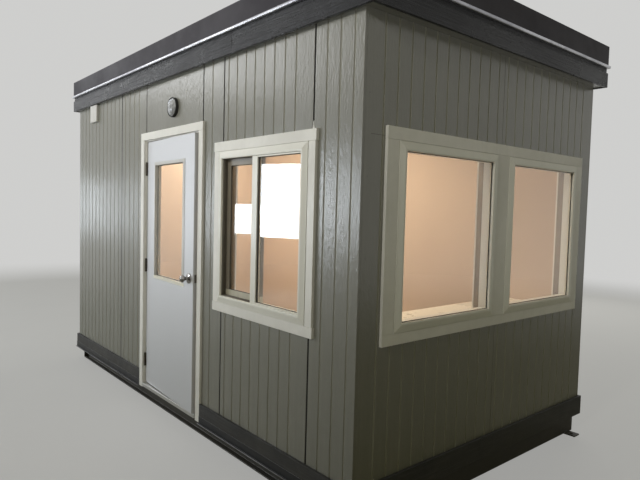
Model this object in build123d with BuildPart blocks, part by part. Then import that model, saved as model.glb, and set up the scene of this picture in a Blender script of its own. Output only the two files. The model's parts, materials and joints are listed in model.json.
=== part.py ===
"""Security guard booth on a steel skid base, 14 ft by 8 ft, in millimetres.

+Z is up and the origin is on the ground under the middle of the booth.
The door and the sliding window are in the front wall, which faces -Y.
The pair of fixed windows is in the end wall that faces +X.
"""
from build123d import *
import math
import os

os.makedirs("parts", exist_ok=True)

# Overall plan, over the siding
booth_length = 4267.0
booth_width = 2438.0

# Steel base
base_height = 127.0
flange_width = 45.0
steel_thickness = 8.0
skid_inset = 47.0
base_end_inset = 12.0
cross_member_width = 51.0
cross_member_count = 5
anchor_length = 85.0
anchor_width = 76.0
anchor_thickness = 10.0
anchor_from_side = 103.0
anchor_hole = 11.0

# Floor
floor_thickness = 28.0

# Walls
core_thickness = 98.0
siding_thickness = 16.0
wall_over_door = 438.0
siding_lift = 4.0

# Grooved siding sheets: a groove every 4 in, and where the sheets of the front wall meet
groove_pitch = 101.6
groove_width = 10.0
groove_depth = 5.0
groove_margin = 25.0
panel_joint = 3.0
sheet_width = 1219.2
sheet_groove = 76.0
left_sheet_width = 1187.0
left_sheet_groove = 76.0
second_sheet_groove = 75.0
over_door_lap = 28.5
over_door_groove = 97.0
over_door_groove_depth = 1.2
pier_lap = 9.5
pier_groove = 128.0
window_sheet_lap_left = 22.5
window_sheet_lap_right = 14.5
window_sheet_groove = 56.0
window_sheet_bare = 100.0
right_sheet_groove = 100.0
end_groove = 142.6
end_bare = 70.0

# Skirt board round the foot of the walls, with a metal drip flashing along the front
skirt_height = 140.0
skirt_thickness = 19.0
mitre_gap = 1.0
mitre_angle = 45.0
flashing_height = 54.0
flashing_thickness = 2.0
flashing_lip = 12.0
flashing_lift = 1.0

# Roof
soffit_thickness = 12.0
ceiling_thickness = 12.0
joist_depth = 235.0
joist_thickness = 38.0
joist_count = 8
deck_thickness = 18.0
membrane_thickness = 3.0
fascia_thickness = 19.0
end_overhang = 86.0
side_overhang = 40.0
fascia_drop = 18.0
fascia_board_height = 105.0
fascia_strip_height = 34.0
fascia_strip_setback = 8.0
fascia_joint = 1155.5
bead_height = 23.0
bead_nose = 13.0
bead_round = 9.0
upper_fascia_height = 140.0

# Door unit
door_to_window = 1224.0
leaf_width = 908.0
leaf_height = 2007.0
leaf_thickness = 44.45
leaf_gap = 5.0
latch_bevel = 2.3
leaf_recess = 8.5
door_ajar = 3.0
jamb_thickness = 30.0
head_thickness = 30.0
stop_thickness = 12.0
stop_depth = 30.0
threshold_height = 17.0
threshold_nose = 24.0
threshold_lip = 12.0
casing_thickness = 19.0
door_casing_width = 60.0
casing_reveal = 9.0
casing_foot_gap = 6.0
butt_gap = 0.5

# Hinges
hinge_height = 108.0
hinge_radius = 7.0
hinge_pin_radius = 3.2
hinge_pin_fit = 0.3
hinge_plate_width = 34.0
hinge_plate_thickness = 3.0
hinge_knuckles = 5
knuckle_sides = 16
pin_sides = 8
knuckle_gap = 0.6
pin_offset = 8.0
hinge_top_margin = 219.0
hinge_bottom_margin = 192.0
hinge_clearance = 2.0

# Lockset, its faceplate in the edge of the leaf and the strike in the jamb
knob_height = 973.0
knob_backset = 68.0
rose_radius = 38.0
rose_rim = 4.0
rose_thickness = 12.0
neck_radius = 14.0
knob_back = 32.0
knob_shoulder = 43.0
knob_brow = 60.0
knob_reach = 70.0
knob_radius = 27.5
knob_face_radius = 19.0
lock_body_radius = 25.0
lock_bore_clearance = 2.0
faceplate_height = 57.0
faceplate_width = 25.4
faceplate_thickness = 2.5
strike_height = 64.0
strike_depth = 34.0
strike_thickness = 2.0
strike_hole_height = 30.0
strike_hole_depth = 16.0

# Glazed light in the door
lite_width = 590.0
lite_height = 935.0
lite_top_margin = 172.0
lite_frame_width = 26.0
lite_web = 13.0
lite_frame_proud = 9.0
lite_frame_edge = 2.5
lite_nose_radius = 3.0
lite_glass_thickness = 12.0

# Windows
window_casing_thickness = 19.0
window_gap = 3.0
casing_gap = 2.0
window_to_right_end = 856.5
front_window_width = 932.0
window_height = 997.0
sill_height = 879.0
front_casing_leg = 58.0
front_casing_head = 62.0
front_casing_sill = 60.0
front_casing_ear = 6.0
end_window_from_corner = 251.0
end_post_width = 132.0
end_casing_leg = 87.0
end_casing_head = 65.0
end_casing_sill = 60.0
frame_face_width = 50.0
frame_lip_width = 8.0
frame_lip_proud = 3.0
frame_proud = 12.0
frame_nose_width = 14.0
frame_nose_radius = 5.0
frame_depth = 70.0
glass_thickness = 6.0
end_glass_setback = 18.0
meeting_stile_width = 57.0
meeting_stile_shift = -36.0
outer_sash_setback = 8.0
outer_sash_thickness = 35.0
outer_sash_bead = 9.0
outer_pane_setback = 14.0
inner_sash_gap = 4.0
inner_sash_thickness = 22.0
inner_sash_face = 42.0
inner_pane_setback = 8.0
lining_thickness = 12.0
inside_casing_width = 57.0
inside_casing_thickness = 12.0

# Wall light, cover box and counter
light_from_door = 45.0
light_over_casing = 79.0
light_radius = 73.0
light_depth = 45.0
light_bezel_width = 9.0
light_bezel_round = 4.0
light_dish_depth = 20.0
lens_crown = 12.0
lens_flat_radius = 38.0
box_from_left_end = 485.5
box_width = 178.0
box_height = 166.0
box_depth = 24.0
counter_depth = 510.0
counter_under_casing = 8.0
counter_thickness = 38.0
cleat_height = 60.0
cleat_depth = 25.0
cleat_fit = 2.0

# Levels and lines worked out from the sizes above
half_length = booth_length / 2
half_width = booth_width / 2
wall_thickness = core_thickness + siding_thickness
inner_length = half_length - wall_thickness
inner_width = half_width - wall_thickness
core_length = half_length - siding_thickness
core_width = half_width - siding_thickness
floor_top = base_height + floor_thickness

# Door opening worked out from the leaf
front_window_center = half_length - window_to_right_end
door_center = front_window_center - door_to_window
leaf_bottom = floor_top + threshold_height + leaf_gap
leaf_top = leaf_bottom + leaf_height
jamb_face_left = door_center - leaf_width / 2 - leaf_gap
jamb_face_right = door_center + leaf_width / 2 + leaf_gap
head_face = leaf_top + leaf_gap
door_left = jamb_face_left - jamb_thickness
door_right = jamb_face_right + jamb_thickness
door_head_top = head_face + head_thickness
casing_left = jamb_face_left - casing_reveal - door_casing_width
casing_right = jamb_face_right + casing_reveal + door_casing_width
casing_inner_top = head_face + casing_reveal
casing_top = casing_inner_top + door_casing_width

# Window openings worked out from the frames
window_bottom = floor_top + sill_height
window_top = window_bottom + window_height
window_middle = (window_bottom + window_top) / 2
front_hole = (
    front_window_center - front_window_width / 2 - window_gap,
    front_window_center + front_window_width / 2 + window_gap,
)
hole_height = (window_bottom - window_gap, window_top + window_gap)
end_window_width = half_width - end_window_from_corner - end_post_width / 2
end_window_shift = (end_window_width + end_post_width) / 2
end_window_centers = (-end_window_shift, end_window_shift)
end_holes = [
    (center - end_window_width / 2 - window_gap, center + end_window_width / 2 + window_gap)
    for center in end_window_centers
]

# Wall top and roof
wall_top = door_head_top + wall_over_door
end_fascia_back = end_overhang - fascia_thickness
side_fascia_back = side_overhang - fascia_thickness
roof_x = half_length + end_fascia_back
roof_y = half_width + side_fascia_back
joist_top = wall_top + joist_depth
deck_top = joist_top + deck_thickness
fascia_bottom = wall_top - fascia_drop
strip_bottom = fascia_bottom + fascia_board_height
bead_bottom = strip_bottom + fascia_strip_height
bead_top = bead_bottom + bead_height

# Planes of the outer wall faces, with local x along the wall and local y up
front_face = Plane(origin=(0, -half_width, 0), x_dir=(1, 0, 0), z_dir=(0, -1, 0))
back_face = Plane(origin=(0, half_width, 0), x_dir=(-1, 0, 0), z_dir=(0, 1, 0))
left_face = Plane(origin=(-half_length, 0, 0), x_dir=(0, -1, 0), z_dir=(-1, 0, 0))
right_face = Plane(origin=(half_length, 0, 0), x_dir=(0, 1, 0), z_dir=(1, 0, 0))


def slab(x_range, y_range, z_range, mode=Mode.ADD):
    """Adds a plain board between three pairs of limits to the piece being made."""
    middle = tuple((low + high) / 2 for low, high in (x_range, y_range, z_range))
    size = [high - low for low, high in (x_range, y_range, z_range)]
    with Locations(middle):
        Box(*size, mode=mode)


def plane_on(base, origin, x_dir, z_dir):
    """Gives the plane whose origin and directions are stated in the base plane's own terms."""
    return Plane(base.location * Plane(origin=origin, x_dir=x_dir, z_dir=z_dir).location)


def finish(piece, label):
    """Labels a finished piece and writes it to its own file."""
    piece.part.label = label
    export_step(piece.part, f"parts/{label}.step")


def groove_lines(low, high, through):
    """Lists the groove lines between two limits, a pitch apart, on a grid through one line."""
    first = math.ceil((low - through) / groove_pitch)
    last = math.floor((high - through) / groove_pitch)
    return [through + step * groove_pitch for step in range(first, last + 1)]


def siding_sheets(face, span, joints, grooves):
    """Adds the siding of one wall, parted at its joints. A groove is a line and a depth.

    The plan is drawn with x along the wall and y into it.
    """
    with BuildSketch(plane_on(face, (0, base_height + siding_lift, 0), (1, 0, 0), (0, 1, 0))) as plan:
        with Locations(((span[0] + span[1]) / 2, siding_thickness / 2)):
            Rectangle(span[1] - span[0], siding_thickness)
        for line in joints:
            with Locations((line, siding_thickness / 2)):
                Rectangle(panel_joint, siding_thickness, mode=Mode.SUBTRACT)
        for line, depth in grooves:
            with Locations((line, depth / 2)):
                Rectangle(groove_width, depth, mode=Mode.SUBTRACT)
    extrude(plan.sketch, amount=wall_top - base_height - siding_lift)


def board_ring(reach_x, reach_y, thickness, bottom, height):
    """Adds four boards round the booth whose faces stand out by the given reaches."""
    with BuildSketch(Plane.XY.offset(bottom)) as plan:
        Rectangle(booth_length + 2 * reach_x, booth_width + 2 * reach_y)
        Rectangle(
            booth_length + 2 * (reach_x - thickness),
            booth_width + 2 * (reach_y - thickness),
            mode=Mode.SUBTRACT,
        )
    extrude(plan.sketch, amount=height)


def part_mitres(reach_x, reach_y, thickness, bottom, height):
    """Parts a ring of boards at its four corners with a thin slot along each mitre."""
    with BuildSketch(Plane.XY.offset(bottom)) as plan:
        for x_side in (-1, 1):
            for y_side in (-1, 1):
                corner = (
                    x_side * (half_length + reach_x - thickness / 2),
                    y_side * (half_width + reach_y - thickness / 2),
                )
                with Locations(Location(corner, x_side * y_side * mitre_angle)):
                    Rectangle(2 * thickness, mitre_gap)
    extrude(plan.sketch, amount=height, mode=Mode.SUBTRACT)


def moulding(base, center, size, profile):
    """Sweeps a profile round a rectangle on the base plane, mitred at the corners.

    In the profile, x runs outwards from the rectangle and y out of the base plane.
    """
    left = center[0] - size[0] / 2
    right = center[0] + size[0] / 2
    low = center[1] - size[1] / 2
    high = center[1] + size[1] / 2
    with BuildLine(base) as path:
        Polyline(
            (center[0], low),
            (left, low),
            (left, high),
            (right, high),
            (right, low),
            (center[0], low),
        )
    with BuildSketch(plane_on(base, (center[0], low, 0), (0, -1, 0), (-1, 0, 0))) as section:
        add(profile.sketch)
    sweep(section.sketch, path=path.line, transition=Transition.RIGHT)


# Steel base: two long channels with their flanges outwards
skid_length = half_length - base_end_inset - steel_thickness
toe_line = half_width - skid_inset
web_line = toe_line - flange_width

for name, side in (("skid_front", -1), ("skid_back", 1)):
    with BuildPart() as skid:
        with BuildSketch(Plane.YZ.offset(-skid_length)):
            with Locations((side * (toe_line + web_line) / 2, base_height / 2)):
                Rectangle(flange_width, base_height)
            with Locations((side * (toe_line + web_line + steel_thickness) / 2, base_height / 2)):
                Rectangle(
                    flange_width - steel_thickness,
                    base_height - 2 * steel_thickness,
                    mode=Mode.SUBTRACT,
                )
        extrude(amount=2 * skid_length)
    finish(skid, name)

# Channels across both ends, their flanges cut back to fit between the skids
with BuildPart() as base_ends:
    for side in (-1, 1):
        outer = side * (half_length - base_end_inset)
        inner = outer - side * steel_thickness
        toe = outer - side * flange_width
        slab(sorted((outer, inner)), (-toe_line, toe_line), (0, base_height))
        for low in (0, base_height - steel_thickness):
            slab(sorted((inner, toe)), (-web_line, web_line), (low, low + steel_thickness))
finish(base_ends, "base_end_channels")

# Cross members between the skids, channels that all open the same way
cross_pitch = 2 * skid_length / (cross_member_count + 1)
with BuildPart() as cross_members:
    with BuildSketch(Plane.XZ.offset(web_line)):
        with Locations((0, base_height / 2)):
            with GridLocations(cross_pitch, 1, cross_member_count, 1):
                Rectangle(cross_member_width, base_height)
        with Locations((steel_thickness, base_height / 2)):
            with GridLocations(cross_pitch, 1, cross_member_count, 1):
                Rectangle(
                    cross_member_width,
                    base_height - 2 * steel_thickness,
                    mode=Mode.SUBTRACT,
                )
    extrude(amount=-2 * web_line)
finish(cross_members, "base_cross_members")

# Anchor tabs at ground level on both ends, each with one bolt hole
anchor_line = half_width - anchor_from_side - anchor_width / 2
with BuildPart() as anchors:
    for side in (-1, 1):
        start = side * (half_length - base_end_inset)
        stop = start + side * anchor_length
        for row in (-1, 1):
            slab(
                sorted((start, stop)),
                (row * anchor_line - anchor_width / 2, row * anchor_line + anchor_width / 2),
                (0, anchor_thickness),
            )
            with Locations(((start + stop) / 2, row * anchor_line, anchor_thickness / 2)):
                Cylinder(anchor_hole, anchor_thickness, mode=Mode.SUBTRACT)
finish(anchors, "anchor_tabs")

# Floor
with BuildPart() as floor_deck:
    slab((-core_length, core_length), (-core_width, core_width), (base_height, floor_top))
finish(floor_deck, "floor_deck")

# Wall cores, each the framing with its inside lining
front_core = (-core_width, -inner_width)

with BuildPart() as front_wall_left:
    slab((-core_length, door_left), front_core, (floor_top, wall_top))
finish(front_wall_left, "front_wall_left")

with BuildPart() as front_wall_over_door:
    slab((door_left, door_right), front_core, (door_head_top, wall_top))
finish(front_wall_over_door, "front_wall_over_door")

with BuildPart() as front_wall_right:
    slab((door_right, core_length), front_core, (floor_top, wall_top))
    slab(front_hole, front_core, hole_height, mode=Mode.SUBTRACT)
finish(front_wall_right, "front_wall_right")

with BuildPart() as back_wall:
    slab((-core_length, core_length), (inner_width, core_width), (floor_top, wall_top))
finish(back_wall, "back_wall")

with BuildPart() as left_wall:
    slab((-core_length, -inner_length), (-inner_width, inner_width), (floor_top, wall_top))
finish(left_wall, "left_end_wall")

with BuildPart() as right_wall:
    slab((inner_length, core_length), (-inner_width, inner_width), (floor_top, wall_top))
    for hole in end_holes:
        slab((inner_length, core_length), hole, hole_height, mode=Mode.SUBTRACT)
finish(right_wall, "right_end_wall")

# Front siding. The sheets meet over the sides of the door and beside the window,
# and each sheet's grooves start at their own distance from its joint.
left_joint = -half_length + left_sheet_width
door_left_joint = door_left + over_door_lap
door_right_joint = door_right + pier_lap
window_left_joint = front_hole[0] + window_sheet_lap_left
window_right_joint = front_hole[1] + window_sheet_lap_right
window_casing_left = front_window_center - front_window_width / 2 - casing_gap - front_casing_leg

front_grooves = [
    (line, groove_depth)
    for low, high, through in (
        (-half_length, left_joint, left_joint - left_sheet_groove),
        (left_joint, casing_left, left_joint + second_sheet_groove),
        (casing_right, window_casing_left, door_right_joint + pier_groove),
        (
            window_left_joint,
            window_right_joint - window_sheet_bare,
            window_left_joint + window_sheet_groove,
        ),
        (window_right_joint, half_length, window_right_joint + right_sheet_groove),
    )
    for line in groove_lines(low + groove_margin, high - groove_margin, through)
]
over_door_grooves = [
    (line, over_door_groove_depth)
    for line in groove_lines(
        door_left_joint + groove_margin,
        door_right_joint - groove_margin,
        door_left_joint + over_door_groove,
    )
]

with BuildPart() as front_siding:
    siding_sheets(
        front_face,
        (-half_length, half_length),
        (left_joint, door_left_joint, door_right_joint, window_left_joint, window_right_joint),
        front_grooves + over_door_grooves,
    )
    slab(
        (door_left, door_right_joint - panel_joint / 2),
        (-half_width, -core_width),
        (base_height, door_head_top),
        mode=Mode.SUBTRACT,
    )
    slab(front_hole, (-half_width, -core_width), hole_height, mode=Mode.SUBTRACT)
finish(front_siding, "front_siding")

# Siding of the two ends
end_grooves = [
    (line, groove_depth)
    for line in groove_lines(-half_width + end_bare, half_width - end_bare, -half_width + end_groove)
]
with BuildPart() as right_siding:
    siding_sheets(right_face, (-core_width, core_width), (0,), end_grooves)
    for hole in end_holes:
        slab((core_length, half_length), hole, hole_height, mode=Mode.SUBTRACT)
finish(right_siding, "right_end_siding")

with BuildPart() as left_siding:
    siding_sheets(left_face, (-core_width, core_width), (0,), end_grooves)
finish(left_siding, "left_end_siding")

# Back siding, in whole sheets from one corner
back_joints = [
    -half_length + sheet * sheet_width
    for sheet in range(1, math.ceil(booth_length / sheet_width))
]
back_grooves = [
    (line, groove_depth)
    for line in groove_lines(
        -half_length + groove_margin,
        half_length - groove_margin,
        -half_length + sheet_groove,
    )
]
with BuildPart() as back_siding:
    siding_sheets(back_face, (-half_length, half_length), back_joints, back_grooves)
finish(back_siding, "back_siding")

# Skirt boards, mitred at the corners and cut at the door casing
with BuildPart() as skirt:
    skirt_sizes = (skirt_thickness, skirt_thickness, skirt_thickness, base_height, skirt_height)
    board_ring(*skirt_sizes)
    part_mitres(*skirt_sizes)
    slab(
        (casing_left - butt_gap, casing_right + butt_gap),
        (-half_width - skirt_thickness, -half_width),
        (base_height, base_height + skirt_height),
        mode=Mode.SUBTRACT,
    )
finish(skirt, "skirt_boards")

# Drip flashing on the foot of the front skirt, an angle whose lip stands outwards
flashing_back = -half_width - skirt_thickness
flashing_front = flashing_back - flashing_thickness
flashing_foot = base_height + flashing_lift
with BuildPart() as flashing:
    for x_range in (
        (-half_length - skirt_thickness, casing_left - butt_gap),
        (casing_right + butt_gap, half_length + skirt_thickness),
    ):
        slab(x_range, (flashing_front, flashing_back), (flashing_foot, flashing_foot + flashing_height))
        slab(
            x_range,
            (flashing_front - flashing_lip, flashing_front),
            (flashing_foot, flashing_foot + flashing_thickness),
        )
finish(flashing, "skirt_flashing")

# Roof framing, ceiling, deck and membrane
with BuildPart() as ceiling:
    slab(
        (-inner_length, inner_length),
        (-inner_width, inner_width),
        (wall_top - ceiling_thickness, wall_top),
    )
finish(ceiling, "ceiling")

joist_pitch = (2 * roof_x - joist_thickness) / (joist_count - 1)
with BuildPart() as joists:
    with Locations((0, 0, wall_top + joist_depth / 2)):
        with GridLocations(joist_pitch, 1, joist_count, 1):
            Box(joist_thickness, 2 * roof_y, joist_depth)
finish(joists, "roof_joists")

with BuildPart() as deck:
    slab((-roof_x, roof_x), (-roof_y, roof_y), (joist_top, deck_top))
finish(deck, "roof_deck")

with BuildPart() as membrane:
    slab((-roof_x, roof_x), (-roof_y, roof_y), (deck_top, deck_top + membrane_thickness))
finish(membrane, "roof_membrane")

with BuildPart() as soffit:
    with BuildSketch(Plane.XY.offset(wall_top - soffit_thickness)):
        Rectangle(2 * roof_x, 2 * roof_y)
        Rectangle(booth_length, booth_width, mode=Mode.SUBTRACT)
    extrude(amount=soffit_thickness)
finish(soffit, "soffit")

# Lower fascia: a board with a strip set back above it, butt-jointed once along the front
with BuildPart() as lower_fascia:
    board_ring(end_overhang, side_overhang, fascia_thickness, fascia_bottom, fascia_board_height)
    board_ring(
        end_overhang - fascia_strip_setback,
        side_overhang - fascia_strip_setback,
        fascia_thickness - fascia_strip_setback,
        strip_bottom,
        fascia_strip_height,
    )
    part_mitres(
        end_overhang,
        side_overhang,
        fascia_thickness,
        fascia_bottom,
        fascia_board_height + fascia_strip_height,
    )
    slab(
        (half_length - fascia_joint - mitre_gap, half_length - fascia_joint),
        (-half_width - side_overhang, -half_width - side_fascia_back),
        (fascia_bottom, bead_bottom),
        mode=Mode.SUBTRACT,
    )
finish(lower_fascia, "lower_fascia_boards")

# Bullnosed bead between the two fascia boards
bead_reach = fascia_thickness + bead_nose
with BuildSketch() as bead_profile:
    Rectangle(bead_reach, bead_height, align=(Align.MIN, Align.MIN))
    fillet(bead_profile.vertices().group_by(Axis.X)[-1], radius=bead_round)

with BuildPart() as bead:
    moulding(Plane.XY.offset(bead_bottom), (0, 0), (2 * roof_x, 2 * roof_y), bead_profile)
    part_mitres(
        end_overhang + bead_nose,
        side_overhang + bead_nose,
        bead_reach,
        bead_bottom,
        bead_height,
    )
finish(bead, "fascia_bead")

with BuildPart() as upper_fascia:
    upper_sizes = (end_overhang, side_overhang, fascia_thickness, bead_top, upper_fascia_height)
    board_ring(*upper_sizes)
    part_mitres(*upper_sizes)
finish(upper_fascia, "upper_fascia_boards")

# Door frame, let in for the hinges and the strike
frame_front = -half_width
frame_back = -inner_width
pin_x = jamb_face_left + leaf_gap / 2
pin_y = -half_width + leaf_recess - pin_offset
knob_level = leaf_bottom + knob_height
hinge_centers = (
    leaf_bottom + hinge_bottom_margin,
    leaf_bottom + (leaf_height - hinge_top_margin + hinge_bottom_margin) / 2,
    leaf_top - hinge_top_margin,
)
strike_limits = (
    (jamb_face_right, jamb_face_right + strike_thickness),
    (frame_front, frame_front + strike_depth),
    (knob_level - strike_height / 2, knob_level + strike_height / 2),
)

with BuildPart() as jambs:
    slab((door_left, jamb_face_left), (frame_front, frame_back), (floor_top, head_face))
    slab((jamb_face_right, door_right), (frame_front, frame_back), (floor_top, head_face))
    for height in hinge_centers:
        with Locations((pin_x, pin_y, height)):
            Box(
                2 * (hinge_radius + hinge_clearance),
                2 * (hinge_radius + hinge_clearance),
                hinge_height + 2 * hinge_clearance,
                mode=Mode.SUBTRACT,
            )
        slab(
            (jamb_face_left - hinge_plate_thickness, jamb_face_left),
            (pin_y, pin_y + pin_offset + hinge_plate_width),
            (height - hinge_height / 2, height + hinge_height / 2),
            mode=Mode.SUBTRACT,
        )
    slab(*strike_limits, mode=Mode.SUBTRACT)
finish(jambs, "door_jambs")

with BuildPart() as strike:
    slab(*strike_limits)
    with Locations((
        jamb_face_right + strike_thickness / 2,
        frame_front + leaf_recess + leaf_thickness / 2,
        knob_level,
    )):
        Box(strike_thickness, strike_hole_depth, strike_hole_height, mode=Mode.SUBTRACT)
finish(strike, "strike_plate")

with BuildPart() as door_head:
    slab((door_left, door_right), (frame_front, frame_back), (head_face, door_head_top))
finish(door_head, "door_head")

stop_y = (
    frame_front + leaf_recess + leaf_thickness + leaf_gap,
    frame_front + leaf_recess + leaf_thickness + leaf_gap + stop_depth,
)
stop_z = (floor_top + threshold_height, head_face - stop_thickness - butt_gap)
with BuildPart() as stops:
    slab((jamb_face_left, jamb_face_left + stop_thickness), stop_y, stop_z)
    slab((jamb_face_right - stop_thickness, jamb_face_right), stop_y, stop_z)
    slab((jamb_face_left, jamb_face_right), stop_y, (head_face - stop_thickness, head_face))
finish(stops, "door_stops")

with BuildPart() as threshold:
    slab(
        (jamb_face_left, jamb_face_right),
        (frame_front - threshold_nose, frame_back),
        (floor_top, floor_top + threshold_height),
    )
    slab(
        (jamb_face_left, jamb_face_right),
        (frame_front - threshold_nose, frame_front),
        (floor_top - threshold_lip, floor_top),
    )
finish(threshold, "door_threshold")

casing_y = (-half_width - casing_thickness, -half_width)
casing_z = (base_height + casing_foot_gap, casing_inner_top - butt_gap)
with BuildPart() as door_casing:
    slab((casing_left, casing_left + door_casing_width), casing_y, casing_z)
    slab((casing_right - door_casing_width, casing_right), casing_y, casing_z)
    slab((casing_left, casing_right), casing_y, (casing_inner_top, casing_top))
finish(door_casing, "door_casing")

# Door leaf, standing a little open about its hinge pins.
# The plan plane has local x along the leaf and local y towards the inside.
ajar = math.radians(door_ajar)
leaf_plan = Plane(
    origin=(pin_x, pin_y, 0),
    x_dir=(math.cos(ajar), -math.sin(ajar), 0),
    z_dir=(0, 0, 1),
)
leaf_front = plane_on(leaf_plan, (0, pin_offset, 0), (1, 0, 0), (0, -1, 0))
leaf_start = leaf_gap / 2
leaf_end = leaf_start + leaf_width
lite_center = (leaf_start + leaf_width / 2, leaf_top - lite_top_margin - lite_height / 2)
lite_clear = (lite_width - 2 * lite_frame_width, lite_height - 2 * lite_frame_width)
knob_center = (leaf_end - knob_backset, knob_level)


def latch_edge(depth):
    """Gives how far the bevelled latch edge of the leaf lies from the pins, at a depth into it."""
    return leaf_end - latch_bevel * depth / leaf_thickness


plate_near = (leaf_thickness - faceplate_width) / 2
plate_far = (leaf_thickness + faceplate_width) / 2
plate_foot = knob_level - faceplate_height / 2
faceplate_plan = [
    (latch_edge(plate_near), pin_offset + plate_near),
    (latch_edge(plate_far), pin_offset + plate_far),
    (latch_edge(plate_far) - faceplate_thickness, pin_offset + plate_far),
    (latch_edge(plate_near) - faceplate_thickness, pin_offset + plate_near),
]

with BuildPart() as leaf:
    with BuildSketch(leaf_plan.offset(leaf_bottom)):
        with BuildLine():
            Polyline(
                (leaf_start, pin_offset),
                (leaf_end, pin_offset),
                (latch_edge(leaf_thickness), pin_offset + leaf_thickness),
                (leaf_start, pin_offset + leaf_thickness),
                close=True,
            )
        make_face()
    extrude(amount=leaf_height)
    with BuildSketch(leaf_front):
        with Locations(lite_center):
            Rectangle(lite_clear[0] + 2 * lite_web, lite_clear[1] + 2 * lite_web)
        with Locations(knob_center):
            Circle(lock_body_radius + lock_bore_clearance)
    extrude(amount=-leaf_thickness, mode=Mode.SUBTRACT)
    for height in hinge_centers:
        with BuildSketch(leaf_plan.offset(height - hinge_height / 2)):
            with Locations(
                (leaf_start + hinge_plate_thickness / 2, pin_offset + hinge_plate_width / 2)
            ):
                Rectangle(hinge_plate_thickness, hinge_plate_width)
        extrude(amount=hinge_height, mode=Mode.SUBTRACT)
    with BuildSketch(leaf_plan.offset(plate_foot)):
        with BuildLine():
            Polyline(*faceplate_plan, close=True)
        make_face()
    extrude(amount=faceplate_height, mode=Mode.SUBTRACT)
finish(leaf, "door_leaf")

# Frame of the glazed light: a sloped rim on both faces, joined by a web through the leaf
with BuildSketch() as lite_profile:
    with BuildLine():
        Polyline(
            (0, lite_frame_proud),
            (lite_frame_width, lite_frame_edge),
            (lite_frame_width, 0),
            (lite_web, 0),
            (lite_web, -leaf_thickness),
            (lite_frame_width, -leaf_thickness),
            (lite_frame_width, -leaf_thickness - lite_frame_edge),
            (0, -leaf_thickness - lite_frame_proud),
            close=True,
        )
    make_face()
    fillet(lite_profile.vertices().group_by(Axis.X)[0], radius=lite_nose_radius)

with BuildPart() as lite_frame:
    moulding(leaf_front, lite_center, lite_clear, lite_profile)
finish(lite_frame, "door_lite_frame")

with BuildPart() as lite_glass:
    with BuildSketch(leaf_front.offset(-(leaf_thickness - lite_glass_thickness) / 2)):
        with Locations(lite_center):
            Rectangle(*lite_clear)
    extrude(amount=-lite_glass_thickness)
finish(lite_glass, "door_lite_glass")

# Lockset: rose, round knob and body turned on one axis, the same on both faces,
# with its faceplate in the edge of the leaf
knob_axis_plane = plane_on(leaf_front, (*knob_center, 0), (0, 0, 1), (0, 1, 0))
with BuildPart() as lockset:
    for face, way in ((0, 1), (-leaf_thickness, -1)):
        with BuildSketch(knob_axis_plane):
            with BuildLine():
                Polyline(
                    (face - way * leaf_thickness / 2, 0),
                    (face - way * leaf_thickness / 2, lock_body_radius),
                    (face, lock_body_radius),
                    (face, rose_radius),
                    (face + way * rose_rim, rose_radius),
                    (face + way * rose_thickness, neck_radius),
                    (face + way * knob_back, neck_radius),
                    (face + way * knob_shoulder, knob_radius),
                    (face + way * knob_brow, knob_radius),
                    (face + way * knob_reach, knob_face_radius),
                    (face + way * knob_reach, 0),
                    close=True,
                )
            make_face()
        revolve(axis=Axis(knob_axis_plane.origin, knob_axis_plane.x_dir))
    with BuildSketch(leaf_plan.offset(plate_foot)):
        with BuildLine():
            Polyline(*faceplate_plan, close=True)
        make_face()
    extrude(amount=faceplate_height)
finish(lockset, "door_lockset")

# Hinges: knuckles 1, 3 and 5 and the pin belong to the jamb, 2 and 4 to the leaf
knuckle_pitch = hinge_height / hinge_knuckles
with BuildPart() as jamb_hinges:
    for height in hinge_centers:
        foot = height - hinge_height / 2
        slab(
            (jamb_face_left - hinge_plate_thickness, jamb_face_left),
            (pin_y + pin_offset, pin_y + pin_offset + hinge_plate_width),
            (foot, foot + hinge_height),
        )
        for index in range(0, hinge_knuckles, 2):
            with BuildSketch(Plane.XY.offset(foot + index * knuckle_pitch + knuckle_gap / 2)):
                with Locations((pin_x, pin_y)):
                    RegularPolygon(hinge_radius, knuckle_sides)
                with Locations((jamb_face_left - hinge_plate_thickness / 2, pin_y + pin_offset / 2)):
                    Rectangle(hinge_plate_thickness, pin_offset)
            extrude(amount=knuckle_pitch - knuckle_gap)
        with BuildSketch(Plane.XY.offset(foot + knuckle_gap / 2)):
            with Locations((pin_x, pin_y)):
                RegularPolygon(hinge_pin_radius - hinge_pin_fit, pin_sides)
        extrude(amount=hinge_height - knuckle_gap)
finish(jamb_hinges, "hinge_jamb_leaves")

with BuildPart() as leaf_hinges:
    for height in hinge_centers:
        foot = height - hinge_height / 2
        with BuildSketch(leaf_plan.offset(foot)):
            with Locations(
                (leaf_start + hinge_plate_thickness / 2, pin_offset + hinge_plate_width / 2)
            ):
                Rectangle(hinge_plate_thickness, hinge_plate_width)
        extrude(amount=hinge_height)
        for index in range(1, hinge_knuckles, 2):
            with BuildSketch(leaf_plan.offset(foot + index * knuckle_pitch + knuckle_gap / 2)):
                RegularPolygon(hinge_radius, knuckle_sides)
                with Locations((leaf_start + hinge_plate_thickness / 2, pin_offset / 2)):
                    Rectangle(hinge_plate_thickness, pin_offset)
                RegularPolygon(hinge_pin_radius, pin_sides, mode=Mode.SUBTRACT)
            extrude(amount=knuckle_pitch - knuckle_gap)
finish(leaf_hinges, "hinge_door_leaves")

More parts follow.
